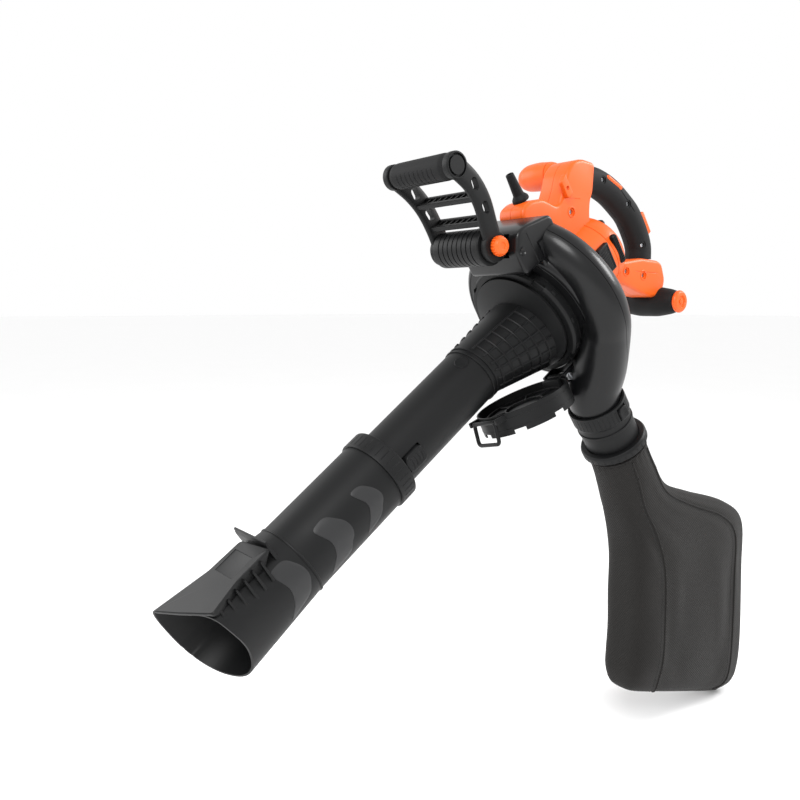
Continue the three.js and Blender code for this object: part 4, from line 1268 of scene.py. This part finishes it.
@dataclass
class SuctionTube:
    """Upper tube with its guard cone and catch, and the nozzle that slides on it."""

    shop: Workshop

    def build_upper(self) -> None:
        """Builds the upper tube with its ribs and raised pads."""
        straight = [(TUBE_R, y) for y in (-330, -290, -240, -190, -140, -96)]
        outside = loft([tube_loop(*place) for place in (*straight, (61, 10, -18), (79.4, 17), (79.4, 36))])
        inner = TUBE_R - WALL
        bore = ((inner, -331), (inner, -96), (57.5, 11, -18), (76, 18), (76, 37))
        inside = loft([tube_loop(*place) for place in bore])
        rims = [turned([[42, y], [44.4, y], [44.4, y + 3], [42, y + 3]], soft=0.9) for y in (-108, -100)]
        arcs = []
        for k in range(6):
            share = (k + 0.6) / 6.4
            y = -96 + 106 * share
            radius, drop = TUBE_R + 18.5 * share, -18 * share
            hoop = oval((0, y, drop), (radius + 0.4, 0, 0), (0, 0, radius + 0.4), 72)
            for first in (-10, 23):
                arcs.append(tube_line([hoop[i % 72] for i in range(first, first + 24)], 1.8, 8))
        for degrees in (65, 40, 20, 4, -15, -35, 200, 222, 180, 160, 140):
            t = math.radians(degrees)
            start = (TUBE_R * math.cos(t), -94, TUBE_R * math.sin(t))
            end = (61 * math.cos(t), 9, -18 + 61 * math.sin(t))
            arcs.append(bar(start, end, 1.9, 10))
        low, high, y1, y2 = 49, 75, -132, -112
        middle, spread = math.radians((low + high) / 2), math.radians(high - low) / 2
        turns = [2 * math.pi * i / 48 for i in range(48)]
        pad = loft([[(r * math.cos(middle + spread * k * math.cos(a)),
                      (y1 + y2) / 2 + (y2 - y1) / 2 * k * math.sin(a),
                      r * math.sin(middle + spread * k * math.cos(a))) for a in turns]
                    for r, k in ((TUBE_R - 1, 1.0), (TUBE_R + 0.8, 1.0), (TUBE_R + 1.3, 0.93))])
        body = outside.join(*rims, *arcs, pad)
        cutter = block((28, -291, -13), (60, -255, 13), 1.5)
        self.shop.add("tube_upper", body.cut(inside, cutter), Slot.BLACK, "machine", ["upper_tube"])
        button = plate([(-256, -12), (-256, 12), (-284, 12), (-290, 6), (-290, -6), (-284, -12)], 5, 2.2, 6)
        curve = tube_line([(47.9, -262 - 2.5 * (z / 8) ** 2, z) for z in range(-8, 9, 2)], 1.0, 8)
        button = button.shifted(42.5).cut(self.shop.repeat.run(curve, 4, step=(0, -6, 0)))
        self.shop.add("catch_button", button, Slot.BLACK, "catch_body", ["tube_catch"])

    def skin(self, inset: float, overrun: float) -> Solid:
        """Returns the nozzle's outside, or with an inset the room inside it."""
        radius = SLEEVE_R - inset
        start, end = tube_loop(radius, TUBE_JOINT + overrun), tube_loop(radius, FLARE_START)
        mouth = mouth_loop(inset)
        loops = [start]
        for y in (-330, -370, -410, -440):
            loops.append(tube_loop(radius, y))
        loops.append(end)
        for k in range(1, 8):
            t = k / 8
            loops.append([a.lerp(b, t) for a, b in zip(end, mouth)])
        loops.append(mouth)
        if overrun > 0:
            loops.append(mouth_loop(inset, 20))
        return loft(loops)

    def band(self, upper: Sequence[Point], lower: Sequence[Point], tip: Point) -> Solid:
        """Makes one pale band that lies on the nozzle: a painted highlight, standing in for a reflection on
        the black plastic.

        Args:
            upper: [angle, y] points of its upper edge.
            lower: [angle, y] points of its lower edge.
            tip: [angle, y] where the edges meet.

        Returns:
            A thin curved plate, slightly raised.
        """
        rim = [*upper, tip, *reversed(lower)]
        line = softened(rim, 9, steps=4)
        hub = Vector((sum(p.x for p in line) / len(line), sum(p.y for p in line) / len(line)))
        outside = self.skin(0, 0).mesh
        corners = [v.co[:] for v in outside.vertices]
        tree = BVHTree.FromPolygons(corners, [f.vertices[:] for f in outside.polygons])

        def on_skin(place: Vector, lift: float) -> Vector:
            """Point on the nozzle at [angle, y], lifted off its skin by `lift`."""
            t = math.radians(place.x)
            out = Vector((math.cos(t), 0, math.sin(t)))
            hit = tree.ray_cast(Vector((0, place.y, 0)), out)[0]
            return hit + out * lift

        shares = (0.04, 0.2, 0.4, 0.6, 0.8, 0.97)
        loops = [[on_skin(hub + (p - hub) * k, -1.1) for p in line] for k in shares]
        loops += [[on_skin(p, lift) for p in line] for lift in (-1.1, 0.25)]
        loops += [[on_skin(hub + (p - hub) * k, 0.45) for p in line] for k in reversed(shares)]
        return loft(loops)

    def build_nozzle(self) -> None:
        """Builds the nozzle, its scraper plate, fins and the pale bands of painted highlight on it."""
        collar = turned([[44, -318], [53.5, -318], [53.5, -292], [44, -292]], soft=1.4)
        grips = self.shop.repeat.run(bar((54.2, -314, 0), (54.2, -296, 0), 1.2, 8), 36, turn=10)
        outline = [(-10, -500), (50, -494), (49, -542), (60, -587), (4, -608), (-38, -622), (-26, -592),
                   (-14, -552)]
        rim = softened(outline, 4, steps=4)
        hub = Vector((18, -556))
        layers = ((40, 0.72), (55, 0.93), (60, 1.0), (62.6, 1.0), (63.6, 0.975))
        scraper = loft([[(*(hub + (p - hub) * share), z + 0.012 * (p.y + 556)) for p in rim]
                        for z, share in layers])
        pocket = block((-4, -545, 63.2), (38, -512, 66), 0.8)
        scraper = scraper.cut(pocket)
        flange = plate([(-493, 34), (-493, 60), (-491, 67), (-488.5, 67), (-488.5, 34)], 40, 0.8, 2)
        fin = plate([(-509.3, 30), (-509.3, 60), (-511.7, 60), (-513.5, 30)], 3.4, 0.5, 1).shifted(48.5)
        fins = self.shop.repeat.run(fin, 6, step=(0.9, -13.5, -0.6))
        body = self.skin(0, 0).join(collar, scraper, flange, fins)
        lips = turned([[49, -470], [51.9, -470], [51.9, -467], [49, -467]], soft=0.9)
        body = body.join(lips).cut(self.skin(WALL, 6), grips)
        seat = turned([[TUBE_R + GAP, -328], [49.5, -328], [49.5, -292.5], [TUBE_R + GAP, -292.5]])
        self.shop.add("nozzle", body + seat, Slot.BLACK, "nozzle_body", ["lower_tube"])
        bands = (
            ([(41, -486), (18, -475), (0, -474), (-26, -486)], [(40, -512), (8, -503), (-9, -507)],
             (-40, -524)),
            ([(43, -416), (17, -399), (-2, -397.5), (-34, -416)], [(40, -440), (8, -429), (-9, -433)],
             (-38, -452)),
            ([(38, -356), (19, -344), (3, -340), (-25, -357)], [(39, -375), (8, -363), (-10, -372)],
             (-35, -385)),
        )
        # Pale raised bands in a lighter black: painted highlights where the glossy nozzle shows reflections.
        for i, (upper, lower, tip) in enumerate(bands, 1):
            self.shop.add(f"nozzle_painted_highlight_{i}", self.band(upper, lower, tip), Slot.BLACK, "nozzle_body",
                          material=self.shop.pale)

    def build(self) -> None:
        """Builds the tube and the nozzle."""
        self.build_upper()
        self.build_nozzle()


# ---------------------------------------------------------------- intake door
@dataclass
class IntakeDoor:
    """Cup-shaped door on its hinge below the intake, with its latch loop."""

    shop: Workshop
    centre: tuple = (0, -62, 0)
    rim: float = -101

    def build(self) -> None:
        """Builds the door, its pin and the latch loop."""
        floor, foot, inner = self.rim - 14, self.rim - 32, 69
        cup = turned([[0, floor - 3], [inner, floor - 3], [inner, foot], [71.1, foot], [71.1, self.rim],
                      [inner, self.rim], [inner, floor], [0, floor]], Axis.Z, self.centre, 112, 0.8)
        bands = []
        for z in (self.rim - 9, self.rim - 24):
            profile = [[70.5, z], [71.5, z], [71.5, z + 1.6], [70.5, z + 1.6]]
            bands.append(turned(profile, Axis.Z, self.centre, 112, 0.4))
        ridge = [turned([[r, floor - 1], [r + 2.4, floor - 1], [r + 2.4, floor + 4], [r, floor + 4]], Axis.Z,
                        self.centre, 96, 0.7) for r in (28, 58)]
        spoke = block((27, -62 - 1.2, floor - 1), (60, -62 + 1.2, floor + 3), 0.5)
        spokes = self.shop.repeat.run(spoke, 8, axis=(0, 0, 1), pivot=(0, -62, 0), turn=45)
        bite = block((66, -62 - 9, foot - 2), (76, -62 + 9, foot + 6), 1.0)
        bites = self.shop.repeat.run(bite, 7, axis=(0, 0, 1), pivot=(0, -62, 0), turn=360 / 7)
        arm = block((-18, -2, floor - 3), (18, 14.5, self.rim + 1), 1.4)
        knuckle = rod(6.7, -17.8, 17.8, Axis.X, DOOR_PIN, 48, 0.8)
        tip = -62 - 72
        ears = [block((x, tip - 9, self.rim - 9), (x + 5, tip + 12, self.rim - 1), 1.2) for x in (-34, 29)]
        door = cup.cut(bites).join(*bands, *ridge, spokes, arm, knuckle, *ears)
        lines = [rod(7.6, x, x + 1.2, Axis.X, DOOR_PIN, 48) - rod(6.4, x - 1, x + 2.4, Axis.X, DOOR_PIN, 48)
                 for x in (-12, -6, 0, 6, 12)]
        door = door.cut(rod(PIN_ROOM, -40, 40, Axis.X, DOOR_PIN), *lines)
        self.shop.add("door_cup", door.moved(DOOR_TURN), Slot.BLACK, "door_body", ["intake_door"])
        pin = rod(3, -25.5, 27, Axis.X, DOOR_PIN, 32).join(rod(6, 25.5, 29, Axis.X, DOOR_PIN, 40, 0.6))
        pin = pin.cut(block((28, 14.9, -109), (30, 17.1, -99)))
        self.shop.add("hinge_screw", pin.moved(LUG_TURN), Slot.STEEL, "machine", ["door_hinge_pin"])
        y1, z1, y2, z2 = tip - 5.5, self.rim - 5, tip - 12, self.rim - 36
        wire = [(-25, y1, z1), (25, y1, z1), (25, y2, z2), (-25, y2, z2)]
        ring = softened(wire, 7, steps=6)
        loops = []
        for i, here in enumerate(ring):
            along = (ring[(i + 1) % len(ring)] - ring[i - 1]).normalized()
            normal = Vector((0, z1 - z2, y2 - y1)).normalized()
            loops.append(oval(here, normal * 2.9, normal.cross(along) * 2.9, 16))
        loop = loft(loops, capped=False)
        stubs = [bar((s * 20, y1, z1), (s * 28.2, y1, z1), 3.0, 16) for s in (-1, 1)]
        self.shop.add("latch_loop", loop.join(*stubs).moved(DOOR_TURN), Slot.BLACK, "door_latch_body",
                      ["door_latch"])


# ---------------------------------------------------------------- outlet and bag
@dataclass
class BagSet:
    """Outlet adapter with its latch, the bag's collar and the cloth bag."""

    shop: Workshop
    casing: Casing
    axis: tuple = (OUTLET_X, 30, 0)
    sections: tuple = (
        ((128, -205.5), (202.6, -152), 46, 2), ((146, -240), (238, -205), 46, 2.1),
        ((166, -290), (274, -249), 47, 2.5), ((183, -335), (352, -277), 50, 3),
        ((192, -385), (452, -306), 52, 3.6), ((194, -435), (506, -345), 52, 4),
        ((193, -485), (514, -430), 52, 4), ((190, -535), (518, -540), 52, 4),
        ((188, -562), (520, -622), 47, 4), ((194, -584), (514, -662), 36, 4),
        ((212, -596), (490, -680), 14, 3.5),
    )

    def build_adapter(self) -> None:
        """Builds the adapter, its latch and the bag's collar."""
        sleeve = turned([[40.2, -154], [44.5, -154], [44.5, -178], [42, -182], [42, -237], [38.5, -237],
                         [38.5, -173], [40.2, -173]], Axis.Z, self.axis, 96, 0.9)
        groove = bar((OUTLET_X + 45.1, 30, -177), (OUTLET_X + 45.1, 30, -157), 1.1, 8)
        grooves = self.shop.repeat.run(groove, 40, axis=(0, 0, 1), pivot=self.axis, turn=9)
        bead = turned([[41, -196], [43.4, -196], [43.4, -192], [41, -192]], Axis.Z, self.axis, 96, 0.8)
        body = sleeve.cut(self.casing.keep_out, block((104, 20, -180), (120, 40, -158)), grooves)
        self.shop.add("outlet_adapter", body.join(bead), Slot.BLACK, "machine", ["bag_adapter"])
        tab = plate([(21, -179), (39, -179), (39, -163), (34, -159), (26, -159), (21, -163)], 3, 1.2, 3)
        line = bar((111.3, 24, -176), (111.3, 36, -176), 0.7, 8)
        tab = tab.shifted(108).cut(self.shop.repeat.run(line, 5, step=(0, 0, 2.8)))
        self.shop.add("latch_tab", tab, Slot.BLACK, "adapter_latch_body", ["adapter_latch"])
        profile = [[42.4, -226], [50, -226], [52, -230], [52, -239], [42.4, -239]]
        ring = turned(profile, Axis.Z, self.axis, 96, 0.9)
        nick = bar((OUTLET_X + 52.6, 30, -238), (OUTLET_X + 52.6, 30, -231), 1.2, 8)
        ring = ring.cut(self.shop.repeat.run(nick, 30, axis=(0, 0, 1), pivot=self.axis, turn=12))
        self.shop.add("bag_collar", ring, Slot.BLACK, "bag_body", ["bag_ring"])

    def loop(self, height: float, inset: float, count: int = 144) -> list[Vector]:
        """Makes one cross-section of the bag.

        Args:
            height: 0 at the neck to 1 at the bottom.
            inset: How far inside the cloth's outer face it runs.
            count: Number of points.

        Returns:
            The section, with the cloth's slack folds in it.
        """
        table = np.array([[*front, *back, half, power] for front, back, half, power in self.sections])
        place = height * (len(table) - 1)
        low = min(int(place), len(table) - 2)
        t = place - low
        rows = [table[min(max(low + k, 0), len(table) - 1)] for k in (-1, 0, 1, 2)]
        a, b, c, d = rows
        mixed = smooth_step(a, b, c, d, t)
        y1, z1, y2, z2, half, power = (float(v) for v in mixed)
        span = Vector((0, (y2 - y1) / 2, (z2 - z1) / 2))
        full = span.length
        span.length = full - inset
        middle = Vector((OUTLET_X, (y1 + y2) / 2, (z1 + z2) / 2))
        loop = oval(middle, span, (half - inset, 0, 0), count, power)
        belly = math.sin(math.pi * min(1.0, max(0.0, (height - 0.12) / 0.9))) ** 0.7
        result = []
        for p in loop:
            along = (p - middle).dot(span.normalized()) / full
            side = (p.x - 64) / half
            fold = 0.0
            for centre, slope, width, depth in ((-0.62, 0.30, 0.10, 4.2), (-0.30, -0.22, 0.13, 2.6),
                                                (0.12, 0.35, 0.12, 3.4), (0.52, -0.30, 0.11, 3.2),
                                                (0.80, 0.12, 0.09, 2.4)):
                wander = slope * (height - 0.55) + 0.05 * math.sin(9 * height + 5 * centre)
                offset = (along - centre - wander) / width
                fold += depth * math.exp(-offset * offset)
            ripple = 1.5 * math.sin(7.1 * along + 13.0 * height + 1.3 * side) \
                + 1.0 * math.sin(17.0 * along - 23.0 * height + 0.7)
            gather = 0.7 * math.sin(26 * math.atan2(side, along)) * math.exp(-(height / 0.05) ** 2)
            inward = (fold * 0.62 + 1.2 + 0.55 * ripple) * belly + gather + 1.2
            direction = Vector((-side * abs(side), 0, 0)) - span.normalized() * (along * abs(along) ** 3)
            direction = direction.normalized() if direction.length > 0.05 else Vector((0, 0, 0))
            result.append(p + direction * max(0.0, inward))
        return result

    def build_bag(self) -> None:
        """Builds the cloth bag with its open neck, seams and stitching."""
        rows = 110
        heights = [i / rows for i in range(rows + 1)]
        inner = [self.loop(h, 1.6) for h in reversed(heights[:-1])]
        inner[0] = [p + Vector((0, 0, 1.6)) for p in inner[0]]
        outer = [self.loop(h, 0.0) for h in heights]
        self.shop.add("cloth_bag", loft(inner + outer), Slot.CLOTH, "bag_body", ["bag"], HANGING)
        piping = None
        stitching = None
        for corner in (0.36, 0.64, -0.36, -0.64):
            index = int(round(corner * 72)) % 144
            line = [self.loop(h, -0.5)[index] for h in heights[4:106]]
            edge = tube_line(line, 1.5, 10)
            piping = edge if piping is None else piping + edge
            beside = [self.loop(h, -0.25)[(index + (2 if corner > 0 else -2)) % 144] for h in heights[4:106]]
            thread = self.shop.stitches.run(beside, 4.2, 2.8, 0.35, self.shop.thread)
            stitching = thread if stitching is None else self.together(stitching, thread)
        self.shop.add("bag_piping", piping, Slot.CLOTH, "bag_body", place=HANGING)
        self.shop.add("bag_stitching", stitching, Slot.CLOTH, "bag_body", place=HANGING,
                      material=self.shop.thread)
        ring = tube_ring(self.loop(0.018, -0.8, 96), 2.0)
        self.shop.add("bag_neck_hem", ring, Slot.CLOTH, "bag_body", place=HANGING)

    @staticmethod
    def together(first: Solid, second: Solid) -> Solid:
        """Returns one mesh with the separate pieces of both."""
        work = bmesh.new()
        work.from_mesh(first.mesh)
        work.from_mesh(second.mesh)
        mesh = bpy.data.meshes.new("pieces")
        work.to_mesh(mesh)
        work.free()
        return Solid(mesh)

    def build(self) -> None:
        """Builds the adapter and the bag."""
        self.build_adapter()
        self.build_bag()


def tube_ring(points: Sequence[Point], radius: float, count: int = 10) -> Solid:
    """Returns a closed round cord along a closed line."""
    line = [Vector(p) for p in points]
    centre = sum(line, Vector((0, 0, 0))) / len(line)
    loops = []
    for i, here in enumerate(line):
        along = (line[(i + 1) % len(line)] - line[i - 1]).normalized()
        out = (here - centre)
        out = (out - along * out.dot(along)).normalized()
        loops.append(oval(here, out * radius, along.cross(out) * radius, count))
    return loft(loops, capped=False)


# ---------------------------------------------------------------- studio
@dataclass
class Studio:
    """Pale floor, soft lights and the camera."""

    camera_offset: tuple = (834.3, -860.1, 35.8)

    def light(self, name: str, place: Point, power: float, size: float) -> None:
        """Adds a soft lamp at `place` that looks at the object's middle."""
        data = bpy.data.lights.new(name, "AREA")
        data.energy = power
        data.shape = "DISK"
        data.size = size
        lamp = bpy.data.objects.new(name, data)
        bpy.context.scene.collection.objects.link(lamp)
        lamp.location = place
        lamp.rotation_euler = (Vector((0, 0, 0.45)) - Vector(place)).to_track_quat("-Z", "Y").to_euler()

    def build(self) -> None:
        """Builds the floor, the world, the lamps and the camera."""
        scene = bpy.context.scene
        mesh = bpy.data.meshes.new("floor")
        mesh.from_pydata([(-60, -60, 0), (60, -60, 0), (60, 60, 0), (-60, 60, 0)], [], [(0, 1, 2, 3)])
        recipe = Recipe("floor")
        cloud = recipe.noise(2.0, 2.0)
        mesh.materials.append(recipe.surface(base_color=recipe.mix(cloud, (0.955,) * 3, (0.975,) * 3),
                                             roughness=0.9))
        floor = bpy.data.objects.new("floor", mesh)
        scene.collection.objects.link(floor)
        floor.location.z = -0.0015
        world = bpy.data.worlds.new("studio")
        world.use_nodes = True
        world.node_tree.nodes["Background"].inputs["Color"].default_value = (1.0, 1.0, 1.0, 1)
        world.node_tree.nodes["Background"].inputs["Strength"].default_value = 1.0
        scene.world = world
        self.light("key", (1.5, -2.0, 2.4), 62, 1.4)
        self.light("fill", (-2.2, -1.4, 1.6), 26, 1.8)
        self.light("rim", (1.2, 2.2, 2.2), 48, 1.2)
        scene.view_settings.view_transform = "Standard"
        lens = bpy.data.cameras.new("camera")
        lens.lens = 36
        lens.sensor_width = 36
        camera = bpy.data.objects.new("camera", lens)
        scene.collection.objects.link(camera)
        right = Vector((0.6134, 0.7898, 0.0002))
        up = Vector((-0.0918, 0.0712, 0.9933))
        back = right.cross(up)
        turn = Matrix((right, up, back)).transposed()
        camera.matrix_world = Matrix.Translation(ORIGIN + Vector(self.camera_offset) * MM) @ turn.to_4x4()
        scene.camera = camera


def dress_hidden_parts(shop: Workshop) -> None:
    """Gives the CAD nodes that stay shown, which are the inner works, their finishes."""
    steel = {"armature", "stator", "bearing_front", "bearing_rear", "impeller_nut"}
    copper = {"commutator", "brush_right", "brush_left"}
    for name, node in frame["nodes"].items():
        if node.hide_render:
            continue
        slot = Slot.STEEL if name in steel else Slot.COPPER if name in copper else Slot.BLACK
        node.data.materials.clear()
        node.data.materials.append(shop.finishes[slot])
        log.info("%s keeps its shape in %s", name, slot.value)


def main() -> None:
    logging.basicConfig(level=logging.INFO, format="%(message)s")
    shop = Workshop()
    shop.mix_finishes()
    casing = Casing(shop)
    assemblies = (casing, Housing(shop, casing), Controls(shop), SecondHandle(shop, casing),
                  SuctionTube(shop), IntakeDoor(shop), BagSet(shop, casing))
    for assembly in assemblies:
        assembly.build()
    dress_hidden_parts(shop)
    Studio().build()


if __name__ == "__main__":
    main()
